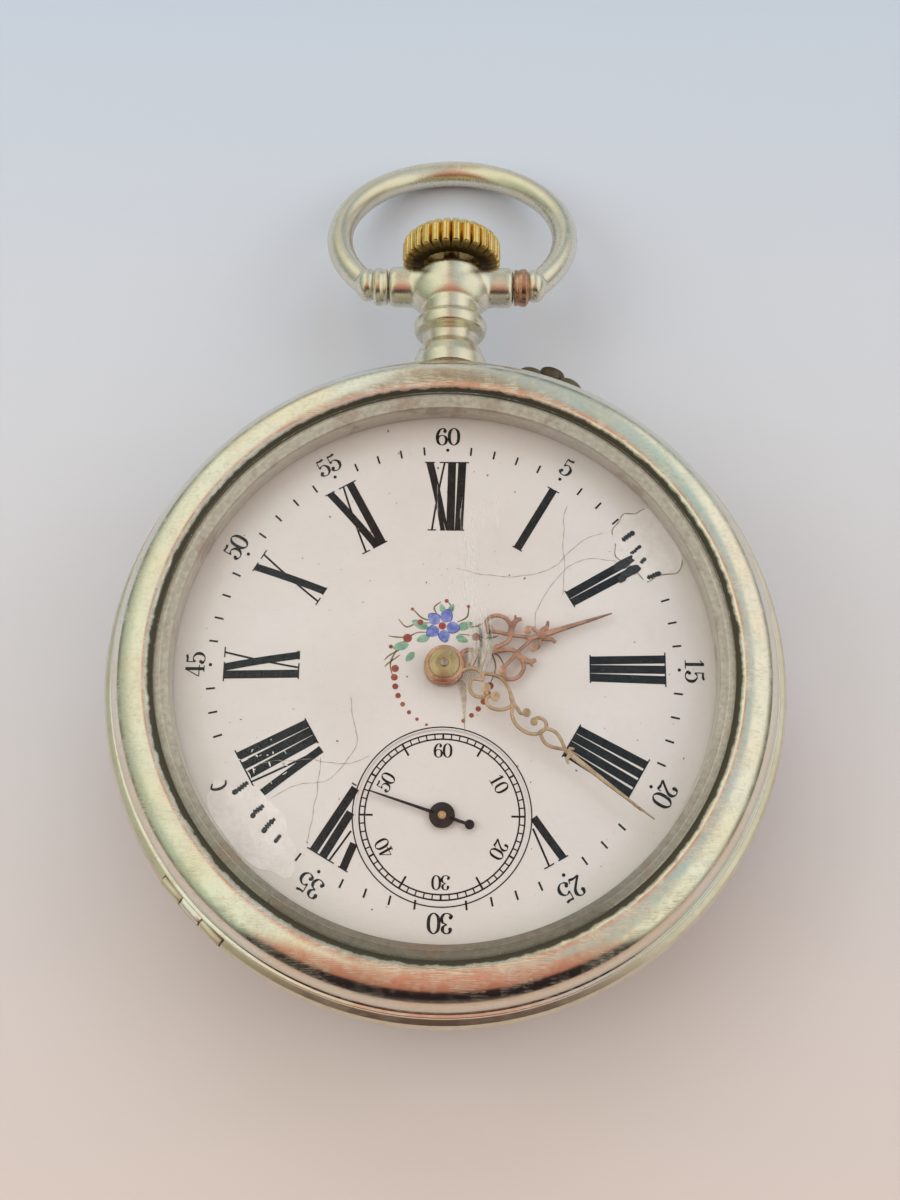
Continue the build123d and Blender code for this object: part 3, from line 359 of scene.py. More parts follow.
# ---- Materials -----------------------------------------------------------------------------------
class Nodes:
    """Adds nodes to one tree and wires them."""

    def __init__(self, tree):
        self.tree = tree

    def add(self, kind, **settings):
        node = self.tree.nodes.new(kind)
        for key, value in settings.items():
            setattr(node, key, value)
        return node

    def link(self, source, target):
        self.tree.links.new(source, target)

    def put(self, target, value):
        """Sets a socket from a number, a colour or another socket."""
        if isinstance(value, bpy.types.NodeSocket):
            self.link(value, target)
        elif isinstance(value, (tuple, list)) and len(value) == 3 and len(target.default_value) == 4:
            target.default_value = (*value, 1.0)
        else:
            target.default_value = value

    def math(self, operation, a, b=0.0, clamp=False):
        node = self.add("ShaderNodeMath", operation=operation, use_clamp=clamp)
        self.put(node.inputs[0], a)
        self.put(node.inputs[1], b)
        return node.outputs[0]

    def times(self, a, b):
        return self.math("MULTIPLY", a, b)

    def plus(self, a, b, clamp=False):
        return self.math("ADD", a, b, clamp)

    def minus(self, a, b, clamp=False):
        return self.math("SUBTRACT", a, b, clamp)

    def length(self, a, b):
        return self.math("SQRT", self.plus(self.times(a, a), self.times(b, b)))

    def split(self, vector):
        """The three parts of a vector."""
        node = self.add("ShaderNodeSeparateXYZ")
        self.link(vector, node.inputs[0])
        return node.outputs

    def ramp(self, value, *stops):
        """Colour or grey ramp: stops are (place, colour or grey)."""
        node = self.add("ShaderNodeValToRGB")
        self.link(value, node.inputs[0])
        marks = node.color_ramp.elements
        while len(marks) < len(stops):
            marks.new(0.5)
        for mark, (place, colour) in zip(marks, stops):
            mark.position = place
            mark.color = (*colour, 1.0) if isinstance(colour, tuple) else (colour, colour, colour, 1.0)
        return node.outputs[0]

    def blend(self, share, a, b, kind="MIX"):
        node = self.add("ShaderNodeMix", data_type="RGBA", blend_type=kind)
        self.put(node.inputs[0], share)
        self.put(node.inputs[6], a)
        self.put(node.inputs[7], b)
        return node.outputs[2]


class Recipe(Nodes):
    """Builds one procedural material."""

    def __init__(self, name):
        self.material = bpy.data.materials.new(name)
        self.material.use_nodes = True
        super().__init__(self.material.node_tree)
        self.shader = self.tree.nodes["Principled BSDF"]
        self.output = self.tree.nodes["Material Output"]
        place = self.add("ShaderNodeTexCoord")
        scaled = self.add("ShaderNodeVectorMath", operation="SCALE")
        self.link(place.outputs["Object"], scaled.inputs[0])
        scaled.inputs["Scale"].default_value = 1 / MM
        self.here = scaled.outputs[0]

    def stretched(self, scale, turn=(0, 0, 0), vector=None):
        node = self.add("ShaderNodeMapping")
        self.link(vector or self.here, node.inputs["Vector"])
        node.inputs["Scale"].default_value = scale
        node.inputs["Rotation"].default_value = [radians(t) for t in turn]
        return node.outputs[0]

    def noise(self, scale, detail=4.0, rough=0.5, vector=None, warp=0.0):
        node = self.add("ShaderNodeTexNoise")
        self.link(vector or self.here, node.inputs["Vector"])
        node.inputs["Scale"].default_value = scale
        node.inputs["Detail"].default_value = detail
        node.inputs["Roughness"].default_value = rough
        node.inputs["Distortion"].default_value = warp
        return node.outputs[0]

    def cells(self, scale, feature="F1", vector=None):
        node = self.add("ShaderNodeTexVoronoi", feature=feature)
        self.link(vector or self.here, node.inputs["Vector"])
        node.inputs["Scale"].default_value = scale
        return node.outputs["Distance"]

    def clouded(self, tone, colour, other, low=0.35, high=0.7):
        """Two colours that run into each other in soft clouds."""
        return self.blend(self.ramp(tone, (low, 0.0), (high, 1.0)), colour, other)

    def patches(self, low, high, scale, detail=4.0, rough=0.5, most=1.0):
        """Noise cut into patches: nothing below low, and most from high upwards."""
        return self.ramp(self.noise(scale, detail, rough), (low, 0.0), (high, most))

    def weighted(self, base, *terms, clamp=False):
        """A base plus each source times its share, kept between 0 and 1 if asked."""
        for number, (source, share) in enumerate(terms, 1):
            base = self.plus(base, self.times(source, share), clamp and number == len(terms))
        return base

    def polar(self):
        """(radius, angle, height) about the watch's own axis, in millimetres."""
        x, y, z = self.split(self.here)
        return self.length(x, y), self.math("ARCTAN2", y, x), z

    def packed(self, x, y, z):
        node = self.add("ShaderNodeCombineXYZ")
        for socket, value in zip(node.inputs, (x, y, z)):
            self.put(socket, value)
        return node.outputs[0]

    def lathe_marks(self, fine, along):
        """Grain that runs round the watch's axis, as turning leaves it."""
        radius, angle, height = self.polar()
        place = self.packed(self.times(radius, fine), self.times(angle, along), self.times(height, fine))
        return self.noise(1.0, 3.0, 0.6, place)

    def facing_front(self):
        """1 where a face is seen from outside, 0 from inside."""
        return self.minus(1.0, self.add("ShaderNodeNewGeometry").outputs["Backfacing"])

    def scratches(self, width, fade=0.06, turns=(12, 57, 103, 151)):
        """Fine straight scratches that cross at several angles: white lines on black."""
        total = None
        for number, turn in enumerate(turns):
            lines = self.noise(1.0, 1.0, 0.4, self.stretched((0.35, width, 0.35), (7 * number, 11, turn)), 0.15)
            lines = self.ramp(lines, (0.495 - fade / 4, 0.0), (0.5, 1.0), (0.505 + fade / 4, 0.0))
            lines = self.times(lines, self.patches(0.5, 0.62, 0.45 + 0.13 * number, 2.0))
            total = lines if total is None else self.math("MAXIMUM", total, lines)
        return total

    def relief(self, *layers):
        """Bumps laid one over another, each from (height, distance in millimetres, strength)."""
        normal = None
        for height, distance, strength in layers:
            node = self.add("ShaderNodeBump")
            self.link(height, node.inputs["Height"])
            node.inputs["Distance"].default_value = distance * MM
            node.inputs["Strength"].default_value = strength
            if normal:
                self.link(normal, node.inputs["Normal"])
            normal = node.outputs[0]
        return normal

    def plain_shader(self, kind, colour):
        node = self.add(kind)
        node.inputs[0].default_value = (*colour, 1.0)
        return node.outputs[0]

    def mixed_shader(self, share, a, b):
        node = self.add("ShaderNodeMixShader")
        for socket, source in zip(node.inputs, (share, a, b)):
            self.link(source, socket)
        return node.outputs[0]

    def set(self, **values):
        names = {
            "colour": "Base Color", "metal": "Metallic", "rough": "Roughness", "normal": "Normal",
            "ior": "IOR", "coat": "Coat Weight", "coat_rough": "Coat Roughness", "aniso": "Anisotropic",
            "through": "Transmission Weight", "alpha": "Alpha", "level": "Specular IOR Level",
            "under": "Subsurface Weight", "depth": "Subsurface Scale",
        }
        for key, value in values.items():
            self.put(self.shader.inputs[names[key]], value)
        return self.material


def scaled(colour, by):
    return tuple(min(1.0, c * by) for c in colour)


def case_metal(name, colour, tarnish, rough=0.2, wear=1.0, rings=True):
    """Nickel silver, gold or steel that has been carried: haze, fine scratches, small dents."""
    r = Recipe(name)
    haze = r.noise(0.16, 5.0, 0.6)
    spots = r.patches(0.5, 0.72, 1.1, 6.0, 0.65)
    mixed = r.clouded(haze, colour, scaled(tarnish, 1.35))
    mixed = r.blend(r.times(spots, 0.45 * wear), mixed, tarnish)
    lines = r.scratches(26.0)
    mixed = r.blend(r.times(lines, 0.35 * wear), mixed, scaled(colour, 1.25))
    grain = r.lathe_marks(16.0, 1.3) if rings else r.noise(1.0, 2.0, 0.5, r.stretched((6.0, 6.0, 6.0)))
    roughness = r.weighted(rough - 0.06 * wear, (haze, 0.16 * wear), (lines, 0.18), (grain, 0.08 * wear),
                           clamp=True)
    normal = r.relief((grain, 0.003, 0.5 * wear), (r.noise(0.5, 2.0), 0.02, 0.35 * wear),
                      (lines, 0.003, 0.7 * wear))
    return r.set(colour=mixed, metal=1.0, rough=roughness, normal=normal)


def bezel_metal():
    """Satin nickel silver with a many-toned haze, a dark line of dirt and painted shade where the glass meets
    it, and speckled grime with painted shade on the inner wall.
    """
    r = Recipe("bezel_metal")
    radius, _, height = r.polar()
    mixed = r.ramp(r.noise(0.085, 2.0, 0.4), (0.34, (0.74, 0.75, 0.64)), (0.46, (0.80, 0.76, 0.66)),
                   (0.55, (0.79, 0.72, 0.60)), (0.68, (0.80, 0.79, 0.74)))
    mixed = r.blend(r.patches(0.5, 0.85, 2.6, 6.0, 0.7, 0.45), mixed, (0.45, 0.4, 0.3))
    lines = r.scratches(22.0, 0.05)
    mixed = r.blend(r.times(lines, 0.35), mixed, (0.95, 0.92, 0.86))
    rub = r.lathe_marks(12.0, 2.2)
    # dirt and painted shade: a dark band is painted into the metal where the glass meets the bezel
    edge = r.plus(radius, r.times(r.noise(1.1, 5.0, 0.65), -0.5))
    dirt = r.ramp(r.minus(edge, GLASS_RADIUS - 0.2), (0.0, 1.0), (0.3, 1.0), (0.5, 0.0))
    above = r.ramp(r.minus(height, 12.3), (0.0, 0.0), (0.35, 1.0))
    dirt = r.times(dirt, above)
    mixed = r.blend(dirt, mixed, (0.05, 0.042, 0.024))
    below = r.ramp(r.times(r.minus(height, 12.0), 0.5), (0.37, 1.0), (0.4, 0.0))
    inner = r.ramp(r.times(r.minus(radius, WALL_RADIUS), 0.5), (0.5, 1.0), (0.53, 0.0))
    inner = r.times(inner, below)
    # painted shade: the inner wall's speckled grime is laid on thinner at the bottom, so the wall is darker
    # towards the top
    top_shade = r.ramp(r.weighted(0.5, (r.split(r.here)[1], 0.025)), (0.08, 0.35), (0.4, 1.0))
    grime_and_top_shade = r.times(r.ramp(r.noise(2.5, 4.0, 0.6), (0.3, 0.6), (0.7, 0.95)), top_shade)
    mixed = r.blend(r.times(inner, grime_and_top_shade), mixed, (0.58, 0.52, 0.45))
    rust = r.times(inner, r.patches(0.58, 0.66, 0.33, 4.0, 0.6))
    mixed = r.blend(r.times(rust, 0.4), mixed, (0.26, 0.14, 0.09))
    roughness = r.weighted(0.12, (r.noise(0.4, 4.0, 0.6), 0.03), (rub, 0.02), (inner, 0.25), (dirt, 0.35),
                           clamp=True)
    normal = r.relief((rub, 0.0015, 0.3), (lines, 0.003, 0.8),
                      (r.times(r.noise(3.0, 4.0, 0.6), inner), 0.006, 0.3))
    clean = r.ramp(dirt, (0.2, 1.0), (0.9, 0.2))
    shine = r.minus(clean, r.times(inner, 0.45), clamp=True)
    return r.set(colour=mixed, metal=shine, rough=roughness, normal=normal)


def enamel():
    """Fired white enamel: slight ripple, faint warm clouds, pin holes, a gloss coat, and painted shade towards
    its rim.
    """
    r = Recipe("enamel")
    mixed = r.clouded(r.noise(0.12, 5.0, 0.6), (0.77, 0.725, 0.725), (0.72, 0.67, 0.66))
    mixed = r.blend(r.patches(0.52, 0.85, 2.2, 5.0, 0.6, 0.3), mixed, (0.68, 0.62, 0.57))
    pits = r.ramp(r.cells(1.7), (0.015, 1.0), (0.04, 0.0))
    rare = r.patches(0.55, 0.6, 0.7, 2.0)
    mixed = r.blend(r.times(r.times(pits, rare), 0.7), mixed, (0.2, 0.16, 0.12))
    # painted shade: the enamel darkens in a band towards its rim, under the bezel wall
    edge = r.ramp(r.math("DIVIDE", r.polar()[0], WALL_RADIUS), (0.9, 0.0), (1.0, 1.0))
    mixed = r.blend(r.times(edge, 0.4), mixed, (0.62, 0.56, 0.5))
    ripple = r.relief((r.noise(0.55, 2.0), 0.05, 0.25))
    return r.set(colour=mixed, rough=0.3, coat=0.35, coat_rough=0.1, normal=ripple)


def paint(name, colour, other, rough=0.45, scale=3.0, relief=0.006, level=0.4):
    """Thick brushed or printed paint with uneven tone."""
    r = Recipe(name)
    tone = r.noise(scale, 5.0, 0.65)
    return r.set(colour=r.clouded(tone, colour, other, 0.38, 0.66), level=level,
                 rough=r.weighted(rough - 0.1, (tone, 0.25)),
                 normal=r.relief((r.noise(scale * 2.5, 4.0, 0.6), relief, 0.7)))


def hand_metal(name, colour, tarnish, rough=0.24, metal=1.0):
    """Stamped and gilt hands: warm, worn, with dark specks."""
    r = Recipe(name)
    specks = r.patches(0.58, 0.7, 5.0, 4.0, 0.65)
    mixed = r.clouded(r.noise(0.9, 5.0, 0.62), colour, tarnish, 0.4, 0.65)
    mixed = r.blend(r.times(specks, 0.65), mixed, scaled(tarnish, 0.3))
    normal = r.relief((r.noise(7.0, 4.0, 0.6), 0.008, 0.6), (r.noise(1.5, 2.0), 0.05, 0.4))
    return r.set(colour=mixed, metal=metal, rough=r.weighted(rough, (specks, 0.3)), normal=normal)


def plain_metal(name, colour, other, rough=0.2, grain=(1.5, 30.0, 1.5), relief=0.004):
    """Machined steel or brass with a straight grain."""
    r = Recipe(name)
    lines = r.noise(1.0, 3.0, 0.6, r.stretched(grain, (0, 0, 31)))
    mixed = r.clouded(r.noise(0.7, 5.0, 0.6), colour, other)
    normal = r.relief((lines, relief, 0.6), (r.noise(2.0, 3.0), 0.012, 0.3))
    return r.set(colour=mixed, metal=1.0, rough=r.weighted(rough, (lines, 0.16)), normal=normal)


def frosted_gilt():
    """Fire-gilt movement plates: fine frosting with rubbed patches."""
    r = Recipe("frosted_gilt")
    tone = r.noise(0.35, 5.0, 0.6)
    return r.set(colour=r.clouded(tone, (0.86, 0.62, 0.28), (0.7, 0.47, 0.2)), metal=1.0,
                 rough=r.weighted(0.34, (tone, 0.16)), normal=r.relief((r.noise(14.0, 4.0, 0.7), 0.02, 0.7)))


def jewel():
    """Ruby: clear red with a slight cloud."""
    r = Recipe("jewel")
    cloud = r.noise(4.0, 3.0)
    mixed = r.blend(cloud, (0.62, 0.02, 0.05), (0.8, 0.06, 0.12))
    return r.set(colour=mixed, rough=0.05, through=0.55, ior=1.76, normal=r.relief((cloud, 0.004, 0.2)))


def engine_turned():
    """Polished nickel back with a turned wave pattern inside a plain border."""
    r = Recipe("engine_turned")
    radius, angle, _ = r.polar()
    wave = r.math("SINE", r.times(angle, 48.0))
    rows = r.math("SINE", r.plus(r.times(radius, 7.4), r.times(wave, 1.5)))
    inside = r.ramp(r.math("DIVIDE", radius, 25.0), (0.2, 0.0), (0.24, 1.0), (0.72, 1.0), (0.75, 0.0))
    haze = r.noise(0.2, 5.0, 0.6)
    lines = r.scratches(24.0)
    mixed = r.clouded(haze, (0.80, 0.77, 0.70), (0.62, 0.58, 0.49))
    mixed = r.blend(r.times(lines, 0.4), mixed, (0.95, 0.93, 0.88))
    mixed = r.blend(r.patches(0.55, 0.75, 0.5, 5.0, 0.65, 0.6), mixed, (0.5, 0.45, 0.35))
    normal = r.relief((r.times(rows, inside), 0.045, 0.9), (r.noise(1.2, 3.0), 0.03, 0.4),
                      (lines, 0.006, 0.8))
    return r.set(colour=mixed, metal=1.0, rough=r.weighted(0.16, (haze, 0.2)), normal=normal)


def crystal_glass():
    """Thin clear glass: it mirrors by angle, and its scratches and grease catch the light."""
    r = Recipe("crystal_glass")
    lines = r.scratches(30.0, 0.05, (3, 84, 96, 88))
    haze = r.patches(0.6, 0.9, 0.35, 5.0, 0.6, 0.012)
    specks = r.ramp(r.cells(0.9), (0.02, 1.0), (0.035, 0.0))
    marks = r.weighted(haze, (lines, 0.06), (specks, 0.25), clamp=True)
    fresnel = r.add("ShaderNodeFresnel")
    fresnel.inputs["IOR"].default_value = 1.5
    normal = r.relief((r.noise(0.25, 2.0), 0.03, 0.4))
    r.link(normal, fresnel.inputs["Normal"])
    front = r.facing_front()
    marks = r.times(marks, front)
    r.set(colour=(0.62, 0.70, 0.80), metal=1.0, rough=r.weighted(0.03, (marks, 0.5)), normal=normal)
    clear = r.plain_shader("ShaderNodeBsdfTransparent", (0.992, 0.988, 0.984))
    dull = r.plain_shader("ShaderNodeBsdfDiffuse", (0.8, 0.8, 0.78))
    seen = r.mixed_shader(r.times(fresnel.outputs[0], front), clear, r.shader.outputs[0])
    r.link(r.mixed_shader(marks, seen, dull), r.output.inputs["Surface"])
    return r.material


def rim_glass():
    """The ground bevel of the glass: clear, brighter by angle, with small chips and grease."""
    r = Recipe("rim_glass")
    chips = r.patches(0.5, 0.66, 2.2, 5.0, 0.65)
    edge = r.ramp(r.minus(r.polar()[0], GLASS_RADIUS - 0.75), (0.1, 0.0), (0.17, 0.75), (0.26, 0.1),
                  (0.6, 0.16), (0.72, 0.6))
    marks = r.times(r.weighted(0.5, (chips, 0.5)), edge)
    weight = r.add("ShaderNodeLayerWeight")
    weight.inputs["Blend"].default_value = 0.35
    r.set(colour=(0.96, 0.97, 0.95), metal=1.0, rough=r.weighted(0.08, (chips, 0.3)),
          normal=r.relief((r.noise(0.9, 3.0), 0.04, 0.5)))
    clear = r.plain_shader("ShaderNodeBsdfTransparent", (0.975, 0.975, 0.96))
    share = r.math("MAXIMUM", weight.outputs["Fresnel"], r.times(marks, 0.7))
    seen = r.mixed_shader(r.times(share, r.facing_front()), clear, r.shader.outputs[0])
    r.link(seen, r.output.inputs["Surface"])
    return r.material


def crown_metal():
    """Gold-plated crown, bright on its ribs, with painted shade underneath and low in its flutes."""
    r = Recipe("crown_gold")
    centred = r.add("ShaderNodeVectorMath", operation="SUBTRACT")
    r.link(r.here, centred.inputs[0])
    centred.inputs[1].default_value = (0.0, 0.0, AXIS_Z)
    x, y, z = r.split(centred.outputs[0])
    radius = r.length(x, z)
    tone = r.noise(0.8, 4.0, 0.6)
    mixed = r.clouded(tone, (0.86, 0.62, 0.24), (0.66, 0.45, 0.15))
    # painted shade: near-black laid deep in the flutes and on the underside towards the case
    deep = r.ramp(r.minus(radius, 2.9), (0.0, 1.0), (0.75, 0.85), (1.0, 0.0))
    low = r.ramp(r.times(r.minus(y, 34.2), 0.3), (0.0, 1.0), (0.18, 0.8), (0.42, 0.0))
    deep = r.times(deep, low)
    mixed = r.blend(r.times(deep, 0.93), mixed, (0.06, 0.035, 0.012))
    lines = r.scratches(20.0)
    normal = r.relief((r.noise(3.0, 4.0, 0.6), 0.02, 0.5))
    roughness = r.weighted(0.16, (r.math("MAXIMUM", deep, lines), 0.35))
    return r.set(colour=mixed, metal=1.0, rough=roughness, normal=normal)


def film(name, colour, most, scale, rough=0.3):
    """A translucent smear: patchy cover over what lies below."""
    r = Recipe(name)
    patchy = r.noise(1.0, 5.0, 0.6, r.stretched(scale))
    return r.set(colour=colour, rough=rough, alpha=r.ramp(patchy, (0.32, 0.0), (0.7, most)),
                 normal=r.relief((patchy, 0.08, 0.7)), level=0.12)


def floor_paper():
    """Pale seamless paper with a fine tooth; its colour carries painted light, warm at the near edge and cool
    at the far one.
    """
    r = Recipe("floor_paper")
    # painted light: the paper's colour runs from warm at the near edge to cool at the far edge, in place of
    # coloured lamps
    depth = r.weighted(0.45, (r.split(r.here)[1], 0.0072), clamp=True)
    painted_light_tint = r.ramp(depth, (0.05, (0.68, 0.53, 0.475)), (0.45, (0.665, 0.635, 0.665)),
                   (0.95, (0.50, 0.565, 0.68)))
    mixed = r.blend(r.times(r.noise(0.012, 3.0), 0.1), painted_light_tint, (0.7, 0.69, 0.68))
    return r.set(colour=mixed, rough=0.75, normal=r.relief((r.noise(1.2, 6.0, 0.65), 0.02, 0.35)))


# ---- Case ----------------------------------------------------------------------------------------
def on_hinge(name, shape):
    """Puts a shape drawn along X onto that hinge's axis."""
    radius, height = HINGES[name][:2]
    return moved(shape, clockwise(HINGE_SIDE) @ shift(0, radius, height))


def knuckle(name, start, end, spare=0.0):
    """Round knuckle between two places along a hinge."""
    bare = rod(HINGES[name][2] + spare, start, end, 48, 0.0 if spare else 0.05)
    return on_hinge(name, moved(bare, Matrix.Rotation(pi / 2, 4, "Y")))


def hinge_room(name):
    half = HINGES[name][3] + 0.1
    return knuckle(name, -half, half, 0.12)


def middle_third(name):
    """The stretch of a hinge that the moving part's knuckle fills."""
    third = HINGES[name][3] / 3 - 0.05
    return -third, third


def leaf(name, length, depth, height):
    """Web that ties a knuckle to its part: y is outwards."""
    return on_hinge(name, box_shape(length, depth, height))


def make_case_middle(material):
    section = rounded([
        (20.5, 4.6, 0.1), (21.3, 4.6, 0.1), (21.3, 5.3, 0), (22.3, 5.3, 0), (22.3, 4.5, 0.1),
        (23.6, 4.5, 0.1), (23.6, 5.3, 0), (24.55, 5.3, 0.1), (24.92, 7.0, 1.5),
        (CASE_RADIUS, 8.7, 0.4), (24.72, 9.3, 0.15), (24.3, 9.5, 0.05), (22.0, 9.5, 0),
        (22.0, 10.6, 0.12), (20.65, 10.6, 0.05), (20.65, 8.3, 0), (20.0, 8.3, 0), (20.0, 6.0, 0),
        (20.5, 6.0, 0),
    ])
    body = lathe(section, 384)
    body = cut(body, moved(rod(STEM_HOLE, 17, 29), upright()))
    pin_line = clockwise(PIN_SIDE) @ upright()
    body = cut(body, moved(rod(0.75, 17, 24.9), pin_line))
    body = cut(body, moved(rod(1.08, 23.7, 26.3), pin_line))
    body = cut(body, moved(box_shape((-3.0, 3.0), (21.1, 23.7), (3.3, 5.3)), clockwise(HINGE_SIDE)))
    for name in HINGES:
        body = cut(body, hinge_room(name))
    for name in HINGES:
        half = HINGES[name][3]
        third = half / 3 + 0.05
        low, high = ((-0.35, 0.1) if name == "bezel" else (0.0, 0.95))
        near, far = ((-0.9, 0.0) if name == "bezel" else (-0.15, 0.35))
        for way in (-1, 1):
            span = sorted((way * third, way * half))
            body = added(body, knuckle(name, *span))
            body = added(body, leaf(name, span, (near, far), (low, high)))
    piece("case_middle_band", body, material, "case", ["case_middle"])


def make_bezel(material):
    crown_line = curve([
        (23.86, 10.3), (23.88, 10.9), (23.82, 11.5), (23.6, 12.15), (23.2, 12.65), (22.7, 12.98),
        (22.1, 13.16), (21.5, 13.24), (21.0, 13.19), (20.56, 12.92),
    ], 5)
    foot = rounded([(23.86, 10.3, 0), (24.0, 10.17, 0.05), (24.22, 10.17, 0.08), (24.3, 10.0, 0.08),
                    (24.3, 9.55, 0.05), (22.1, 9.55, 0), (22.1, 10.72, 0), (19.5, 10.72, 0.1),
                    (19.5, 12.72, 0.05), (20.53, 12.72, 0)], 4)
    body = cut(lathe(foot[1:] + crown_line[::-1], 432), hinge_room("bezel"))
    span = middle_third("bezel")
    body = added(body, knuckle("bezel", *span))
    body = added(body, leaf("bezel", span, (-0.42, 0.0), (0.1, 0.6)))
    piece("bezel_ring", body, material, "bezel", ["bezel"], 40)


def make_crystal(clear, rim):
    """The glass: its clear middle and its ground, bevelled rim are one closed mesh."""
    section = rounded([
        (0, 12.8, 0), (19.4, 12.75, 0), (20.5, 12.75, 0.03), (20.5, 13.25, 0.05), (19.95, 13.55, 0.1),
        (12.0, 13.82, 0), (0, 13.9, 0),
    ], 4)
    item = piece("crystal_lens", lathe(section, 288), clear, "bezel", ["crystal"], 25)
    item.data.materials.append(rim)
    for face in item.data.polygons:
        middle = face.center / MM
        if hypot(middle.x, middle.y) > 19.35:
            face.material_index = 1


def make_back_cover(material):
    section = densified(rounded([
        (0, 0, 0), (15.0, 0, 2.0), (21.3, 1.15, 3.0), (24.3, 3.1, 2.0), (COVER_RADIUS, 4.9, 0.3),
        (24.5, 5.25, 0.15), (23.7, 5.25, 0.05), (23.7, 3.55, 1.0), (21.1, 1.75, 2.5),
        (15.0, 0.55, 1.0), (0, 0.55, 0),
    ], 12), 0.8)
    body = lathe(section, 384)
    flat = HINGES["back"][0] - 0.05
    body = cut(body, moved(box_shape((-15, 15), (flat, flat + 3), (-1.5, 8.5)), clockwise(HINGE_SIDE)))
    body = cut(body, hinge_room("back"))
    span = middle_third("back")
    body = added(body, leaf("back", span, (-0.85, -0.1), (-1.2, -0.25)))
    body = added(body, knuckle("back", *span))
    thumb = moved(box_shape((-1.5, 1.5), (24.35, 24.95), (4.68, 5.12)), clockwise(HINGE_SIDE - 180))
    body = added(body, thumb)
    piece("back_cover_shell", body, material, "back_cover", ["back_cover"], 35)


def make_cuvette(material):
    section = densified(rounded([
        (0, 1.5, 0), (19.6, 1.5, 1.2), (21.75, 3.3, 1.0), (21.75, 5.15, 0.1), (21.4, 5.15, 0.1),
        (21.4, 3.45, 0.8), (19.45, 1.85, 0.9), (0, 1.85, 0),
    ], 10), 0.8)
    body = cut(lathe(section, 320), hinge_room("cuvette"))
    span = middle_third("cuvette")
    body = added(body, leaf("cuvette", span, (-0.85, -0.1), (-0.55, -0.1)))
    body = added(body, knuckle("cuvette", *span))
    lip = moved(box_shape((-1.3, 1.3), (21.6, 22.1), (4.55, 4.95)), clockwise(HINGE_SIDE - 180))
    body = added(body, lip)
    piece("dust_cover_shell", body, material, "cuvette", ["cuvette"], 35)


def melted(shape, voxel, rounds):
    """Remeshes overlapping shapes into one skin and smooths it, so that they run into each other."""
    source = placed("melt", shape)
    skin = source.modifiers.new("skin", "REMESH")
    skin.mode = "VOXEL"
    skin.voxel_size = voxel
    soft = source.modifiers.new("soft", "SMOOTH")
    soft.factor = 0.5
    soft.iterations = rounds
    melt = baked(source)
    bpy.data.objects.remove(source)
    return melt


def blob(at, radii, sides=64):
    """Ellipsoid."""
    round_line = [(sin(pi * k / 32), -cos(pi * k / 32)) for k in range(33)]
    shape = lathe(round_line, sides)
    return moved(shape, Matrix.Translation(at) @ Matrix.Diagonal((*radii, 1.0)))


def make_pendant(material):
    """Cast pendant: a domed foot, a waisted neck with a beaded collar, and a T-shaped head."""
    section = densified(rounded([
        (0, 23.9, 0), (2.9, 23.9, 0), (2.9, 25.6, 0.7), (2.5, 26.6, 0.5), (2.05, 27.0, 0.3),
        (2.05, 27.9, 0.3), (2.9, 28.15, 0.35), (2.9, 29.1, 0.4), (2.3, 29.5, 0.2), (2.3, 31.0, 0.1),
        (0, 31.0, 0),
    ], 8), 0.25)
    neck = moved(lathe(section, 128), upright())
    across = shift(0, PIVOT_Y, AXIS_Z) @ Matrix.Rotation(pi / 2, 4, "Y")
    head = join(
        moved(rod(1.6, -5.05, 5.05, 96, 0.45), across),
        blob((0, PIVOT_Y - 0.05, AXIS_Z), (4.9, 1.75, 2.1)),
        blob((0, 31.9, AXIS_Z), (3.5, 2.25, 2.7)),
        moved(rod(2.7, 31.2, 33.8, 96, 0.5), upright()),
    )
    body = join(melted(neck, 0.1, 3), melted(head, 0.11, 22))
    body = melted(body, 0.09, 5)
    body = cut(body, lathe([(0, -1.0), (25.02, -1.0), (25.02, 5.3), (24.6, 5.3), (24.93, 7.0), (25.02, 8.7),
                            (24.73, 9.35), (24.75, 9.5), (24.8, 15.0), (0, 15.0)], 384))
    body = cut(body, moved(rod(STEM_HOLE, 20, 40), upright()))
    for way in (-1, 1):
        hole = rod(0.84, *sorted((way * 3.5, way * 8.0)))
        body = cut(body, moved(hole, across))
    piece("pendant_neck", body, material, "case", ["pendant"], 38)


def bow_frame():
    """From the bow's own plane to the watch: it lies dropped onto the table."""
    return shift(0, PIVOT_Y, AXIS_Z) @ Matrix.Rotation(-radians(BOW_DROP), 4, "X")


def make_bow(material):
    """Round bow: one bent wire, a little flattened at its ends, that turns in at the pivots."""
    end_y = 0.35
    start = degrees(atan2(end_y - BOW_OFFSET, sqrt(BOW_RADIUS**2 - (BOW_OFFSET - end_y) ** 2)))
    line, radii = [], []
    count = 180
    for k in range(count + 1):
        angle = radians(start + (180 - 2 * start) * k / count)
        line.append((BOW_RADIUS * cos(angle), BOW_OFFSET + BOW_RADIUS * sin(angle), 0))
        ends = min(k, count - k) / count
        radii.append(BOW_WIRE * (0.99 - 0.05 * max(0.0, 1 - ends / 0.12)))
    end_x = line[0][0]
    body = tube(line, radii, 56)
    for way in (-1, 1):
        body = added(body, blob((way * (end_x - 0.05), end_y - 0.1, 0), (0.98, 1.32, 1.3)))
    body = cut(body, box_shape((-6.3, 6.3), (-3.0, 2.0), (-3.0, 3.0)))
    for way in (-1, 1):
        pin = rod(0.8, *sorted((way * 3.7, way * (end_x + 0.1))))
        body = added(body, moved(pin, Matrix.Rotation(pi / 2, 4, "Y")))
    piece("bow_wire", moved(body, bow_frame()), material, "bow", ["bow"], 40)


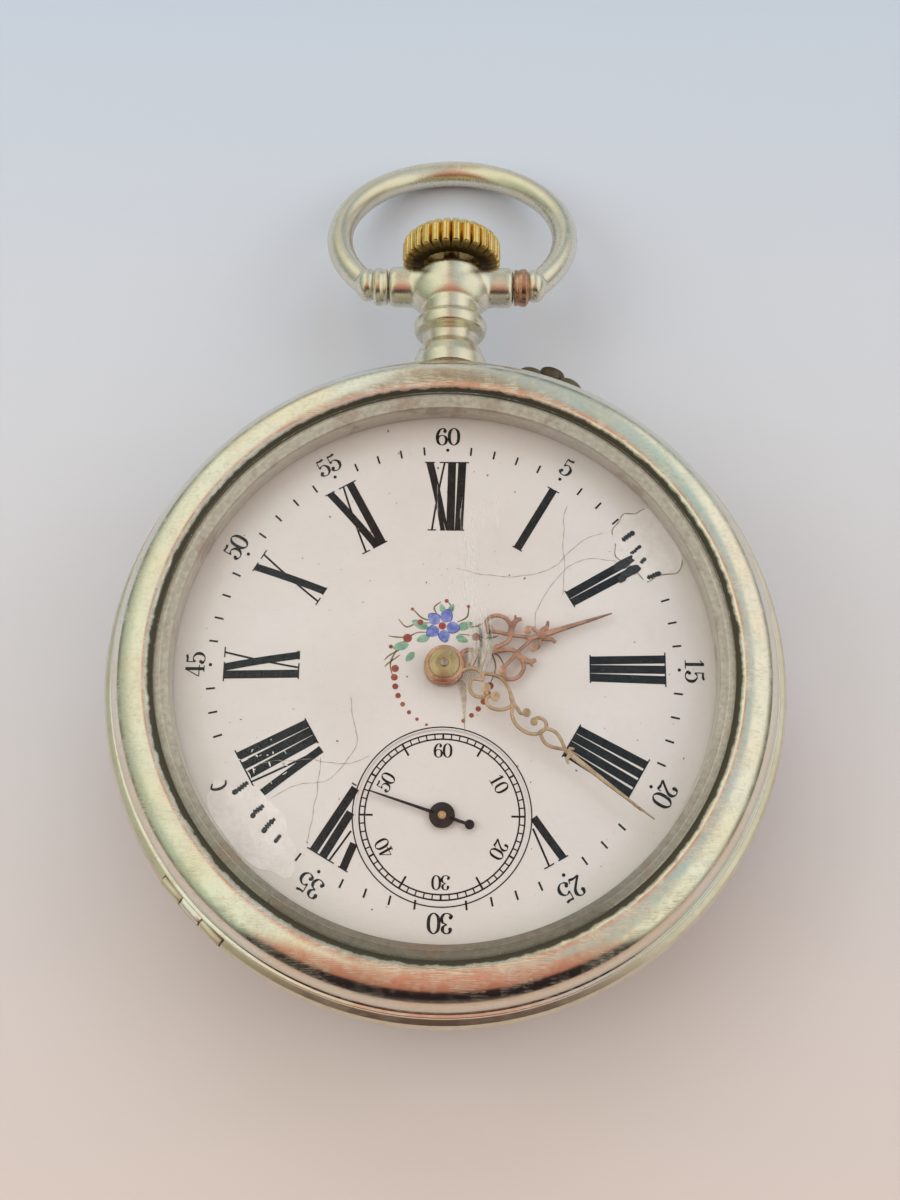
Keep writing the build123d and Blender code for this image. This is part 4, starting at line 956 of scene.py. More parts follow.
def make_bow_collars(left_metal, right_metal):
    """Turned collars between the wire and the cross-bar; the right one has worn to its copper."""
    for way, material, name in ((-1, left_metal, "left"), (1, right_metal, "right")):
        section = rounded([
            (0.82, 5.1, 0.02), (1.5, 5.1, 0.12), (1.38, 5.42, 0.1), (1.5, 5.7, 0.15), (1.5, 6.05, 0.15),
            (1.2, 6.27, 0.1), (0.82, 6.27, 0.02),
        ])
        shape = lathe([(radius, way * place) for radius, place in section], 72)
        shape = moved(shape, bow_frame() @ Matrix.Rotation(pi / 2, 4, "Y"))
        replaced = ["bow_collars"] if way > 0 else []
        piece("bow_collar_" + name, shape, material, "bow", replaced)


def fluted():
    """Crown radius by angle: rounded ribs with narrow, deep valleys between them."""
    def form(radius, angle):
        pitch = 2 * pi / CROWN_FLUTES
        off = abs((angle + pitch / 2) % pitch - pitch / 2) / pitch * 2
        depth = 0.5 * (1 - off) ** 3.2
        edge = min(1.0, max(0.0, (radius - 2.3) / 0.9))
        return radius - depth * edge
    return form


def make_crown(material):
    section = densified(rounded([
        (0, 35.3, 0), (2.35, 35.3, 0), (2.35, 34.3, 0.05), (3.3, 34.3, 0.1), (3.98, 34.55, 0.2),
        (3.98, 36.2, 0.6), (3.3, 36.85, 0.6), (2.2, 36.9, 0.3), (0, 36.9, 0),
    ], 8), 0.12)
    piece("crown_knob", moved(lathe(section, 768, fluted()), upright()), material, "crown", ["crown"],
          50)


def make_pin_guard(material):
    """Shaped boss round the pin-set button: two low humps either side of the pin."""
    place = clockwise(PIN_SIDE)
    humps = join(
        moved(blob((-1.45, 25.05, AXIS_Z), (1.3, 0.92, 1.3)), place),
        moved(blob((1.45, 25.05, AXIS_Z), (1.3, 0.92, 1.3)), place),
        moved(blob((0, 25.0, AXIS_Z), (2.3, 0.6, 1.3)), place),
    )
    body = melted(humps, 0.07, 4)
    keep = lathe([(25.03, 6.05), (25.96, 6.05), (25.96, 8.94), (25.03, 8.94)], 512)
    body = combined(body, keep, "INTERSECT")
    body = cut(body, moved(rod(1.1, 24, 28), place @ upright()))
    piece("pin_guard_boss", body, material, "case", ["pin_guard"], 38)


# ---- Dial ----------------------------------------------------------------------------------------
def make_dial(material):
    section = rounded([
        (1.25, 9.7, 0.05), (DIAL_RADIUS, 9.7, 0.05), (DIAL_RADIUS, 10.5, 0.1),
        (DIAL_RADIUS - 0.35, DIAL_TOP, 0.1), (1.45, DIAL_TOP, 0.15), (1.25, 10.45, 0.05),
    ])
    body = lathe(section, 320)
    well = rounded([
        (0, DIAL_TOP - SUBDIAL_DEPTH, 0), (SUBDIAL_RADIUS - 0.1, DIAL_TOP - SUBDIAL_DEPTH, 0.05),
        (SUBDIAL_RADIUS, DIAL_TOP - 0.02, 0.03), (SUBDIAL_RADIUS + 0.06, DIAL_TOP + 0.1, 0),
        (0, DIAL_TOP + 0.1, 0),
    ], 4)
    body = cut(body, moved(lathe(well, 192), shift(*SUBDIAL)))
    body = cut(body, moved(rod(0.35, 9, 12), shift(*SUBDIAL)))
    piece("dial_enamel", body, material, "case", ["dial"], 30)


def around(shape, angle, radius=0.0):
    """Onto the dial: drawn with y outwards, at an angle clockwise from twelve."""
    return moved(shape, clockwise(angle) @ shift(0, radius))


def inked(line, widths, lift=0.0, closed=False):
    """Stroke that lies on the dial, its top raised by lift."""
    return strip(line, widths, PRINT_LOW, PRINT_HIGH + lift, 0.0, closed)


def dab(outline, lift=0.0, crown=0.0):
    """Filled outline that lies on the dial."""
    return plate(outline, PRINT_LOW, PRINT_HIGH + lift, crown)


def dot(at, radius, lift=0.0, crown=0.0, sides=28):
    """Round spot that lies on the dial."""
    return disc(at, radius, PRINT_LOW, PRINT_HIGH + lift, crown, sides)


def nib(line, thick, thin, closed=False):
    """Widths of a pen stroke: thick where it runs upright, thin where it runs across."""
    widths = []
    count = len(line)
    for i in range(count):
        a = line[i - 1] if closed or i else line[0]
        b = line[(i + 1) % count] if closed or i + 1 < count else line[-1]
        run = hypot(b[0] - a[0], b[1] - a[1]) or 1.0
        widths.append(thin + (thick - thin) * (abs(b[1] - a[1]) / run) ** 2.2)
    return widths


THICK, THIN, BALL = 0.165, 0.05, 0.09
DIGITS = {
    "0": {"loops": [[(0.0, 0.98), (0.2, 0.82), (0.25, 0.5), (0.2, 0.18), (0.0, 0.02), (-0.2, 0.18),
                     (-0.25, 0.5), (-0.2, 0.82)]]},
    "1": {"bars": [((0.02, 0.02), (0.02, 0.98), THICK), ((-0.2, 0.03), (0.24, 0.03), THIN),
                   ((-0.19, 0.78), (0.02, 0.96), THIN)]},
    "2": {"lines": [[(-0.19, 0.72), (-0.13, 0.92), (0.04, 0.97), (0.2, 0.84), (0.19, 0.62), (0.02, 0.38),
                     (-0.17, 0.16), (-0.26, 0.04)]],
          "balls": [(-0.16, 0.74)],
          "bars": [((-0.26, 0.06), (0.04, 0.1), 0.1), ((0.02, 0.1), (0.24, 0.06), 0.13),
                   ((0.24, 0.04), (0.27, 0.24), THIN)]},
    "3": {"lines": [[(-0.2, 0.76), (-0.1, 0.94), (0.06, 0.97), (0.2, 0.85), (0.18, 0.66), (0.0, 0.54)],
                    [(0.0, 0.54), (0.2, 0.46), (0.26, 0.26), (0.14, 0.06), (-0.02, 0.02), (-0.18, 0.1),
                     (-0.22, 0.22)]],
          "balls": [(-0.16, 0.77), (-0.17, 0.22)]},
    "4": {"bars": [((0.1, 0.03), (0.1, 0.98), THICK), ((-0.3, 0.28), (0.3, 0.28), THIN),
                   ((-0.29, 0.29), (0.07, 0.95), THIN), ((-0.06, 0.03), (0.27, 0.03), THIN)]},
    "5": {"lines": [[(-0.18, 0.5), (-0.06, 0.6), (0.1, 0.59), (0.25, 0.42), (0.23, 0.18), (0.08, 0.03),
                     (-0.08, 0.02), (-0.2, 0.1), (-0.22, 0.22)]],
          "balls": [(-0.17, 0.22)],
          "bars": [((-0.17, 0.95), (-0.18, 0.5), THIN), ((-0.17, 0.92), (0.0, 0.89), 0.1),
                   ((0.0, 0.89), (0.2, 0.94), 0.12)]},
    "6": {"lines": [[(0.2, 0.8), (0.08, 0.97), (-0.1, 0.9), (-0.23, 0.65), (-0.25, 0.38), (-0.17, 0.12),
                     (0.0, 0.02), (0.17, 0.1), (0.24, 0.3), (0.17, 0.5), (0.0, 0.57), (-0.16, 0.5),
                     (-0.22, 0.4)]],
          "balls": [(0.15, 0.8)]},
}


def digit(mark, tall, x=0.0):
    """One numeral, drawn with a broad nib, tall millimetres high and centred on x."""
    parts = []
    glyph = DIGITS[mark]

    def sized(knots):
        return [(x + a * tall, b * tall) for a, b in knots]

    for knots in glyph.get("loops", []):
        line = curve(sized(knots), 6, True)
        parts.append(inked(line, nib(line, THICK * tall, THIN * tall, True), closed=True))
    for knots in glyph.get("lines", []):
        line = curve(sized(knots), 6)
        parts.append(inked(line, nib(line, THICK * tall, THIN * tall)))
    for a, b, width in glyph.get("bars", []):
        parts.append(inked(sized([a, b]), [width * tall] * 2, 0.002))
    for spot in glyph.get("balls", []):
        parts.append(dot(sized([spot])[0], BALL * tall, 0.003, 0, 16))
    return join(*parts)


def number(value, tall):
    marks = str(value)
    pitch = 0.64 * tall
    start = -pitch * (len(marks) - 1) / 2
    return join(*(digit(mark, tall, start + pitch * i) for i, mark in enumerate(marks)))


ROMAN_LOW, ROMAN_HIGH = 10.5, 15.9
STEM, HAIR, PITCH = 0.6, 0.095, 0.715
ROMANS = {
    1: "I", 2: "II", 3: "III", 4: "IIII", 5: "V", 7: "VII", 8: "VIII", 9: "IX", 10: "X", 11: "XI", 12: "XII",
}
ADVANCE = {"I": PITCH, "V": 1.3, "X": 1.35}


def roman(text):
    """Roman numeral between its two rails, with hairline thins and serifs; y is the dial radius."""
    strokes = []
    widths = [ADVANCE[mark] for mark in text]
    x = -sum(widths) / 2
    for mark, width in zip(text, widths):
        middle = x + width / 2
        x += width
        if mark == "I":
            strokes.append(((middle, ROMAN_LOW), (middle, ROMAN_HIGH), STEM))
            for level in (ROMAN_LOW, ROMAN_HIGH):
                strokes.append(((middle - 0.46, level), (middle + 0.46, level), HAIR))
        else:
            foot = 0.52 if mark == "X" else 0.0
            strokes.append(((middle - 0.52, ROMAN_HIGH), (middle + foot, ROMAN_LOW), STEM * 0.92))
            strokes.append(((middle + 0.52, ROMAN_HIGH), (middle - foot, ROMAN_LOW), HAIR * 1.5))
            ends = [(-0.52, ROMAN_HIGH), (0.52, ROMAN_HIGH)]
            if mark == "X":
                ends += [(-0.52, ROMAN_LOW), (0.52, ROMAN_LOW)]
            for across, level in ends:
                strokes.append(((middle + across - 0.36, level), (middle + across + 0.36, level), HAIR))
    return strokes


def fanned(x, radius):
    """Numerals widen a little outwards."""
    return x * (0.5 + 0.5 * radius / 13.2) * 0.98, radius


def roman_shape(hour):
    """The numeral at its hour, trimmed where it would run into the seconds ring."""
    parts = []
    for level, (start, end, width) in enumerate(roman(ROMANS[hour])):
        count = 60
        line = [fanned(start[0] + (end[0] - start[0]) * k / count, start[1] + (end[1] - start[1]) * k / count)
                for k in range(count + 1)]
        turned = [clockwise(30 * hour) @ Vector((x, y, 0)) for x, y in line]
        kept = [p for p in turned if hypot(p.x - SUBDIAL[0], p.y - SUBDIAL[1]) > SUBDIAL_RADIUS + 0.25]
        if len(kept) > 2:
            parts.append(inked([(p.x, p.y) for p in kept], [width] * len(kept), 0.0006 * level))
    return join(*parts)


def circle_line(radius, width, at=(0.0, 0.0), low=PRINT_LOW, high=PRINT_HIGH, sides=240):
    ring = [(at[0] + radius * sin(2 * pi * k / sides), at[1] + radius * cos(2 * pi * k / sides))
            for k in range(sides)]
    return strip(ring, [width] * sides, low, high, 0, True)


LOST_MINUTES = {9, 10, 11, 37, 38, 39, 40, 41}


def make_print(material):
    """Everything printed on the dial in black."""
    parts = [roman_shape(hour) for hour in ROMANS]
    start, end = MINUTE_TRACK
    for minute in range(60):
        if minute in LOST_MINUTES:
            continue
        if minute % 5:
            parts.append(around(inked([(0, start), (0, end)], [0.14] * 2), 6 * minute))
        elif minute != 30:
            parts.append(around(dot((0, 16.9), 0.125, sides=20), 6 * minute))
    for minute in range(5, 65, 5):
        if minute not in LOST_MINUTES:
            parts.append(around(number(minute, FIGURE_HEIGHT), 6 * minute, FIGURE_RADIUS))
    on_dial("dial_print", parts, material)


def make_subdial_print(material):
    drop = SUBDIAL_DEPTH
    low, high = PRINT_LOW - drop, PRINT_HIGH - drop
    rim = circle_line(SUBDIAL_RADIUS + 0.14, 0.09)
    parts = [circle_line(radius, 0.11, (0, 0), low, high) for radius in SECONDS_RINGS]
    for second in range(60):
        reach = 4.85 if second % 10 == 5 else 5.45
        width = 0.09 if second % 5 else 0.14
        parts.append(around(bar((0, reach), (0, SECONDS_RINGS[0]), width, low, high + 0.001), 6 * second))
    numbers = [around(number(second or 60, 1.02), 6 * second, 4.1) for second in range(0, 60, 10)]
    sunk = moved(join(*numbers), shift(0, 0, -drop))
    piece("seconds_print", moved(join(rim, *parts, sunk), shift(*SUBDIAL)), material, "case", ())


# ---- Painted spray -------------------------------------------------------------------------------
def petal(at, angle, length, width):
    """Leaf or petal outline that starts at a place and points along an angle."""
    knots = [(0, 0), (0.5 * width, 0.3 * length), (0.42 * width, 0.72 * length), (0, length),
             (-0.42 * width, 0.72 * length), (-0.5 * width, 0.3 * length)]
    turn = clockwise(angle)
    turned = [turn @ Vector((x, y, 0)) for x, y in knots]
    return curve([(at[0] + p.x, at[1] + p.y) for p in turned], 5, True)


def brushed(knots, width, low=PRINT_LOW, high=PRINT_HIGH):
    """Hand-painted stroke that swells in its middle."""
    line = curve(knots, 7)
    count = len(line) - 1
    widths = [width * (0.45 + 0.75 * sin(pi * i / count)) for i in range(count + 1)]
    return strip(line, widths, low, high)


def mirrored(knots):
    return [(-x, y) for x, y in knots]


FLOWER = (-0.2, 3.1)


def make_spray(petals, outlines, heart, leaves, stems, berries):
    """Small painted spray above the hands: one open bloom, leaves, tendrils and berries."""
    petal_parts, outline_parts = [], []
    for angle, length, width in ((-48, 1.0, 0.82), (22, 1.05, 0.84), (98, 1.0, 0.84), (168, 0.95, 0.78),
                                 (-122, 1.0, 0.82)):
        start = (FLOWER[0] + 0.3 * sin(radians(angle)), FLOWER[1] + 0.3 * cos(radians(angle)))
        outline = petal(start, angle, length, width)
        petal_parts.append(dab(outline, 0.002))
        shadow = outline[4:19]
        outline_parts.append(inked(shadow, [0.07] * len(shadow), 0.005))
    on_dial("spray_petals", petal_parts, petals)
    on_dial("spray_outlines", outline_parts, outlines)
    on_dial("spray_heart", [dot(FLOWER, 0.27, 0.012, 0.01)], heart)
    leaf_rows = (
        ((-1.2, 2.9), -65, 1.35, 0.6), ((-1.1, 2.3), -110, 1.0, 0.55), ((-2.6, 1.7), -105, 1.2, 0.6),
        ((-2.2, 1.1), -140, 0.9, 0.5), ((0.9, 2.9), 68, 1.2, 0.6), ((0.8, 2.3), 112, 0.95, 0.5),
        ((2.6, 1.6), 110, 1.35, 0.6), ((2.1, 0.9), 150, 0.9, 0.45), ((-0.1, 4.1), -20, 0.7, 0.4),
        ((0.3, 4.1), 25, 0.75, 0.4),
    )
    leaf_parts = [dab(petal(*row), 0.001) for row in leaf_rows]
    on_dial("spray_leaves", leaf_parts, leaves)
    tendrils = [
        [(-1.0, 3.3), (-2.0, 3.3), (-2.8, 3.0), (-3.4, 3.6)], [(-1.0, 3.5), (-1.7, 3.7), (-2.3, 4.3)],
        [(-2.3, 2.4), (-3.1, 2.2), (-4.1, 2.3)], [(-0.6, 4.0), (-0.8, 4.5), (-0.3, 4.95)],
        [(0.3, 3.9), (0.5, 4.4), (0.2, 4.95)], [(0.9, 3.4), (1.6, 3.8), (1.7, 4.5)],
        [(1.3, 3.0), (2.3, 3.1), (3.0, 3.5)], [(2.2, 2.4), (3.1, 2.2), (3.9, 2.4)],
        [(-3.0, 1.4), (-3.9, 0.9), (-4.35, 0.5)], [(-3.2, 0.9), (-4.0, 0.3), (-4.3, 0.0)],
        [(3.1, 1.3), (3.9, 0.9), (4.3, 0.2)],
        [(-1.2, 2.6), (-2.2, 2.5), (-3.3, 1.5), (-3.9, 0.2), (-3.6, -0.9)],
        [(1.0, 2.5), (2.2, 2.3), (3.2, 1.4), (3.7, 0.1), (3.3, -1.2)],
    ]
    on_dial("spray_tendrils", [brushed(knots, 0.1) for knots in tendrils], stems)
    beads = [((-2.7, 2.15), 0.32), ((2.25, 2.3), 0.3), ((-1.8, 3.35), 0.22), ((0.1, 5.0), 0.15),
             ((-3.9, 1.5), 0.15), ((3.8, 1.6), 0.16), ((-2.4, 4.35), 0.12), ((1.7, 4.6), 0.12)]
    for first, last, count in ((-92, -164, 8), (112, 160, 6)):
        for k in range(count):
            angle = radians(first + (last - first) * k / (count - 1))
            reach = 3.55 + 0.12 * k
            beads.append(((reach * sin(angle), reach * cos(angle)), 0.27 - 0.024 * k))
    parts = [dot(at, size, 0.004, 0.006, 18) for at, size in beads]
    on_dial("spray_berries", parts, berries)


# ---- Damage and repairs on the dial --------------------------------------------------------------
def wobbly(at, reach, angle, seed, points=19, rough=0.13):
    """Irregular closed outline round a place."""
    dice = random.Random(seed)
    knots = []
    for k in range(points):
        turn = 2 * pi * k / points
        stretch = 1 + dice.uniform(-rough, rough)
        x, y = reach[0] * sin(turn) * stretch, reach[1] * cos(turn) * stretch
        p = clockwise(angle) @ Vector((x, y, 0))
        knots.append((at[0] + p.x, at[1] + p.y))
    return curve(knots, 3, True)


def kept_inside(outline, radius):
    result = []
    for x, y in outline:
        size = hypot(x, y)
        share = min(1.0, radius / size) if size else 1.0
        result.append((x * share, y * share))
    return result


def dial_place(angle, radius):
    return radius * sin(radians(angle)), radius * cos(radians(angle))


def make_fillers(filler, edge):
    """Two old chips made good with filler; the first one's edge has opened into a dark line."""
    fills, rims = [], []
    for angle, radius, size, seed in ((57.6, 17.7, (2.9, 2.3), 3), (228, 17.6, (4.1, 2.0), 5)):
        outline = kept_inside(wobbly(dial_place(angle, radius), size, angle, seed), 19.47)
        fills.append(dab(outline, 0.008, 0.006))
        dice = random.Random(seed + 40)
        start = 0
        while angle < 90 and start < len(outline) - 4:
            run = dice.randint(5, 16)
            line = [p for p in outline[start:start + run] if hypot(*p) < 19.4]
            if len(line) > 2:
                widths = [0.04 + 0.06 * abs(sin(1.3 * i + seed)) for i in range(len(line))]
                rims.append(inked(line, widths, 0.016))
            start += run + dice.randint(0, 2)
    on_dial("dial_filler", fills, filler)
    on_dial("dial_filler_edges", rims, edge)


def make_touch_up(ink, dice):
    """Minute strokes and dabs painted back over the filler by hand."""
    strokes = []
    for angle, length, width in ((53, 0.95, 0.5), (57, 0.85, 0.33), (60.5, 0.35, 0.38), (65, 0.9, 0.45),
                                 (238, 1.25, 0.46), (231, 1.0, 0.46), (226.5, 1.05, 0.46), (222.5, 0.5, 0.36)):
        middle = dial_place(angle, 16.75 + dice.uniform(-0.15, 0.15))
        lean = radians(angle + dice.uniform(-14, 14))
        reach = length / 2
        knots = [(middle[0] + share * reach * sin(lean) + dice.uniform(-0.05, 0.05),
                  middle[1] + share * reach * cos(lean) + dice.uniform(-0.05, 0.05))
                 for share in (-1, -0.3, 0.3, 1)]
        line = curve(knots, 5)
        widths = [width * (0.7 + 0.3 * sin(2.1 * i + angle)) * min(1.0, 0.45 + 0.25 * min(i, len(line) - 1 - i))
                  for i in range(len(line))]
        strokes.append(inked(line, widths, 0.022))
        strokes.append(dot(knots[-1], width * 0.42, 0.022, 0.004, 14))
    dabs = ((58.5, 15.4, (0.36, 0.85)), (61.3, 15.55, (0.34, 0.75)), (62.2, 14.6, (0.25, 0.3)))
    for angle, radius, size in dabs:
        strokes.append(dab(wobbly(dial_place(angle, radius), size, angle, int(angle * 10), 11, 0.2), 0.02))
    rest = brushed([(0.62, 18.35), (0.3, 18.55), (0.06, 18.1), (0.1, 17.6), (0.4, 17.4)], 0.17,
                   high=PRINT_HIGH + 0.022)
    strokes.append(around(rest, 240))
    on_dial("dial_touch_up", strokes, ink)


def make_flecks(filler, dice):
    """Short rubbed marks of filler on the numeral beside the larger chip."""
    flecks = []
    for _ in range(26):
        x, y = dial_place(dice.uniform(234, 247), dice.uniform(12.6, 16.2))
        lean = radians(dice.gauss(300, 35))
        reach = dice.uniform(0.1, 0.55)
        flecks.append(brushed([(x, y), (x + 0.5 * reach * sin(lean), y + 0.6 * reach * cos(lean)),
                               (x + reach * sin(lean), y + reach * cos(lean))], dice.uniform(0.03, 0.1),
                              high=PRINT_HIGH + 0.012))
    on_dial("dial_rubbed_flecks", flecks, filler)


CRACK_STEP = 0.25


def crack(start, heading, length, seed):
    """Hairline crack that wanders."""
    dice = random.Random(seed)
    line = [start]
    for _ in range(int(length / CRACK_STEP)):
        heading += dice.gauss(0, 7)
        x, y = line[-1]
        line.append((x + CRACK_STEP * sin(radians(heading)), y + CRACK_STEP * cos(radians(heading))))
    line = [p for p in line if 1.6 < hypot(*p) < 19.3]
    widths = [0.028 + 0.014 * sin(i * 1.7 + seed) for i in range(len(line))]
    return inked(line, widths, 0.004)


def make_cracks(material):
    starts = [((11.6, 10.4), 236, 12.0, 1), ((12.5, 8.2), 262, 9.5, 2), ((-12.0, -9.6), 52, 11.0, 3),
              ((-13.0, -7.2), 74, 8.0, 4), ((9.0, 12.5), 214, 7.0, 5), ((-9.4, -12.6), 20, 6.0, 6)]
    on_dial("dial_cracks", [crack(*row) for row in starts], material)


def make_specks(material):
    """Pin holes and specks of dirt over the dial."""
    dice = random.Random(31)
    parts = []
    for _ in range(150):
        angle, radius = dice.uniform(0, 360), 19.2 * sqrt(dice.random())
        at = dial_place(angle, radius)
        if radius < 2 or hypot(at[0] - SUBDIAL[0], at[1] - SUBDIAL[1]) < SUBDIAL_RADIUS + 0.2:
            continue
        size = 0.018 + 0.05 * dice.random() ** 3
        reach = (size, size * dice.uniform(0.7, 1.8))
        outline = wobbly(at, reach, angle, dice.randint(0, 999), 7, 0.3)
        parts.append(dab(outline, 0.003))
    on_dial("dial_specks", parts, material)


# ---- Hands ---------------------------------------------------------------------------------------
LIFT = 0.0015  # crossing scrolls stand this far apart


def scroll(knots, width, low, high, ball=0.0, taper=0.45):
    """Pierced-hand scroll: a bevelled band that thins towards its end, which may carry a bead."""
    line = curve(knots, 9)
    count = len(line) - 1
    widths = [width * (1 - (1 - taper) * (i / count) ** 1.6) for i in range(count + 1)]
    parts = [strip(line, widths, low, high, 0.045)]
    if ball:
        parts.append(disc(knots[-1], ball, low, high + 0.01, 0.05, 24))
    return join(*parts)


def pair(knots, *rest, **options):
    """The same scroll on both sides of a hand."""
    other = moved(scroll(mirrored(knots), *rest, **options), shift(0, 0, LIFT))
    return join(scroll(knots, *rest, **options), other)


def stacked(parts):
    """Scrolls that cross: each stands a hair above the one before."""
    return join(*(moved(part, shift(0, 0, 2 * LIFT * level)) for level, part in enumerate(parts)))


def blade(rows, low, high, bevel=0.05):
    """Straight hand stem from rows of (place along the hand, width)."""
    line = [(0, place) for place, width in rows]
    return strip(line, [width for place, width in rows], low, high, bevel)


def hub_ring(outer, inner, low, high, step):
    return lathe(rounded([
        (inner, low, 0), (outer, low, 0.02), (outer, high, 0.05), (outer - 0.22, high + step, 0.05),
        (inner + 0.2, high + step, 0.05), (inner, high, 0.02),
    ], 3), 72)


def make_hour_hand(material, hub_material):
    """Pierced hour hand: bud at the hub, two broad mirrored scrolls, a leaf cross and a long point."""
    low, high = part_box("hour_hand")[0][2] / MM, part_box("hour_hand")[1][2] / MM
    # knots, width, bead and taper of each mirrored pair
    rows = (
        ([(0.1, 1.3), (0.55, 1.6), (0.55, 2.2), (0.25, 2.7), (-0.05, 2.95)], 0.34, 0.0, 0.45),
        ([(0.0, 1.9), (0.3, 2.3), (0.1, 2.75)], 0.27, 0.2, 0.45),
        ([(-0.2, 2.9), (0.05, 3.5), (0.2, 4.4), (0.35, 4.95), (0.75, 5.3), (1.3, 5.45), (1.95, 5.35),
          (2.4, 4.8), (2.4, 4.15), (2.0, 3.8), (1.6, 3.9)], 0.31, 0.33, 0.85),
        ([(0.7, 5.2), (1.35, 5.6), (1.62, 6.05), (1.6, 6.4)], 0.44, 0.0, 0.5),
        ([(1.1, 5.4), (1.5, 5.85), (2.0, 6.05)], 0.34, 0.0, 0.4),
        ([(1.45, 3.8), (1.2, 4.45), (0.65, 5.35), (0.12, 6.5)], 0.27, 0.0, 0.9),
        ([(0.0, 7.4), (0.45, 7.1), (0.78, 6.85), (0.7, 6.55)], 0.24, 0.28, 0.9),
        ([(0.05, 7.2), (0.35, 7.6), (0.5, 7.95), (0.85, 8.15)], 0.4, 0.0, 0.45),
    )
    parts = [pair(knots, width, low, high, bead, taper) for knots, width, bead, taper in rows]
    parts.append(blade([(6.3, 0.3), (7.2, 0.38), (8.0, 0.44), (9.2, 0.36), (10.6, 0.27), (11.8, 0.19),
                        (12.74, 0.08)], low, high, 0.06))
    shape = moved(stacked(parts), clockwise(HOUR_ANGLE))
    piece("hour_hand_pierced", shape, material, "hour_hand", ["hour_hand"], 28)
    hub = hub_ring(1.45, 0.87, low - 0.06, high + 0.03, 0.06)
    piece("hour_hand_hub", hub, hub_material, "hour_hand", (), 28)


def make_minute_hand(material, hub_material, cap_material, pin_material):
    """Pierced minute hand: a chain of open scrolls, a lens, a small cross and a long point."""
    low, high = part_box("minute_hand")[0][2] / MM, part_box("minute_hand")[1][2] / MM
    # knots, width, bead and taper of each scroll
    rows = (
        ([(-0.1, 1.2), (-0.8, 1.6), (-1.1, 2.35), (-0.75, 2.9), (-0.35, 2.3), (0.3, 2.5), (0.55, 3.05),
          (0.3, 3.6), (-0.2, 3.7), (-0.42, 3.42)], 0.25, 0.33, 0.9),
        ([(-0.95, 2.5), (-1.35, 3.0), (-1.6, 3.7), (-1.5, 4.4), (-1.1, 5.1), (-0.65, 5.6), (-0.1, 5.5),
          (0.35, 5.05), (0.55, 4.4), (0.25, 3.95), (-0.2, 4.05), (-0.3, 4.35)], 0.26, 0.33, 0.9),
        ([(-0.95, 5.2), (-0.55, 5.7), (0.0, 6.0), (0.38, 6.55), (0.5, 7.2), (0.35, 7.9), (-0.1, 8.4),
          (-0.7, 8.5), (-1.02, 8.1), (-0.85, 7.6), (-0.5, 7.6)], 0.26, 0.29, 0.9),
        ([(-0.75, 5.45), (-0.55, 6.1), (-0.42, 6.5), (-0.7, 6.8)], 0.24, 0.3, 0.9),
        ([(-0.1, 8.35), (-0.6, 8.6), (-0.8, 9.2), (-0.6, 9.85), (-0.2, 10.5)], 0.25, 0.0, 0.9),
        ([(-0.15, 8.4), (0.22, 8.95), (0.22, 9.6), (-0.2, 10.5)], 0.25, 0.0, 0.9),
        ([(-0.15, 10.9), (-0.45, 10.75), (-0.6, 11.0)], 0.3, 0.0, 0.45),
        ([(-0.15, 11.0), (0.25, 11.0), (0.5, 11.3)], 0.3, 0.0, 0.45),
    )
    parts = [scroll(knots, width, low, high, bead, taper) for knots, width, bead, taper in rows]
    parts.append(strip([(-0.2, 10.4), (-0.16, 11.2), (-0.1, 12.6), (-0.04, 14.6), (0, 16.6), (0, 18.27)],
                       [0.28, 0.36, 0.33, 0.27, 0.19, 0.08], low, high, 0.05))
    place = clockwise(MINUTE_ANGLE)
    piece("minute_hand_pierced", moved(stacked(parts), place), material, "minute_hand", ["minute_hand"],
          28)
    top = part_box("cannon_pinion")[1][2] / MM
    hub = hub_ring(1.38, 0.52, low - 0.06, high + 0.04, 0.08)
    piece("minute_hand_hub", moved(hub, place), hub_material, "minute_hand", (), 28)
    cap = lathe(rounded([(0.36, top - 0.2, 0), (1.12, high + 0.02, 0.05), (1.1, top - 0.05, 0.12),
                         (0.6, top + 0.07, 0.1), (0.36, top + 0.05, 0.03)], 5), 72)
    piece("minute_hand_cap", moved(cap, place), cap_material, "minute_hand", (), 30)
    pin = lathe(rounded([(0, top - 0.2, 0), (0.3, top - 0.2, 0), (0.3, top + 0.12, 0.08),
                         (0.0, top + 0.2, 0)], 5), 40)
    piece("minute_hand_pin", moved(pin, place), pin_material, "minute_hand", (), 30)


def make_seconds_hand(material, brass):
    low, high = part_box("seconds_hand")[0][2] / MM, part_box("seconds_hand")[1][2] / MM
    parts = [
        lathe(rounded([(0.2, low, 0), (0.91, low, 0.02), (0.91, high, 0.03), (0.2, high, 0)], 3), 48),
        blade([(0.6, 0.24), (2.2, 0.19), (4.2, 0.14), (5.45, 0.08)], low, high, 0.02),
        blade([(-1.9, 0.2), (-0.6, 0.26)], low, high, 0.02),
        disc((0, -2.03), 0.34, low, high, 0.01, 24),
    ]
    place = shift(*SUBDIAL) @ clockwise(SECONDS_ANGLE)
    piece("seconds_hand_blade", moved(join(*parts), place), material, "seconds_hand", ["seconds_hand"],
          28)
    bush = lathe(rounded([(0.19, high - 0.02, 0), (0.3, high - 0.02, 0), (0.28, high + 0.1, 0.04),
                          (0.19, high + 0.1, 0.02)], 3), 40)
    piece("seconds_hand_bush", moved(bush, shift(*SUBDIAL)), brass, "seconds_hand", ())


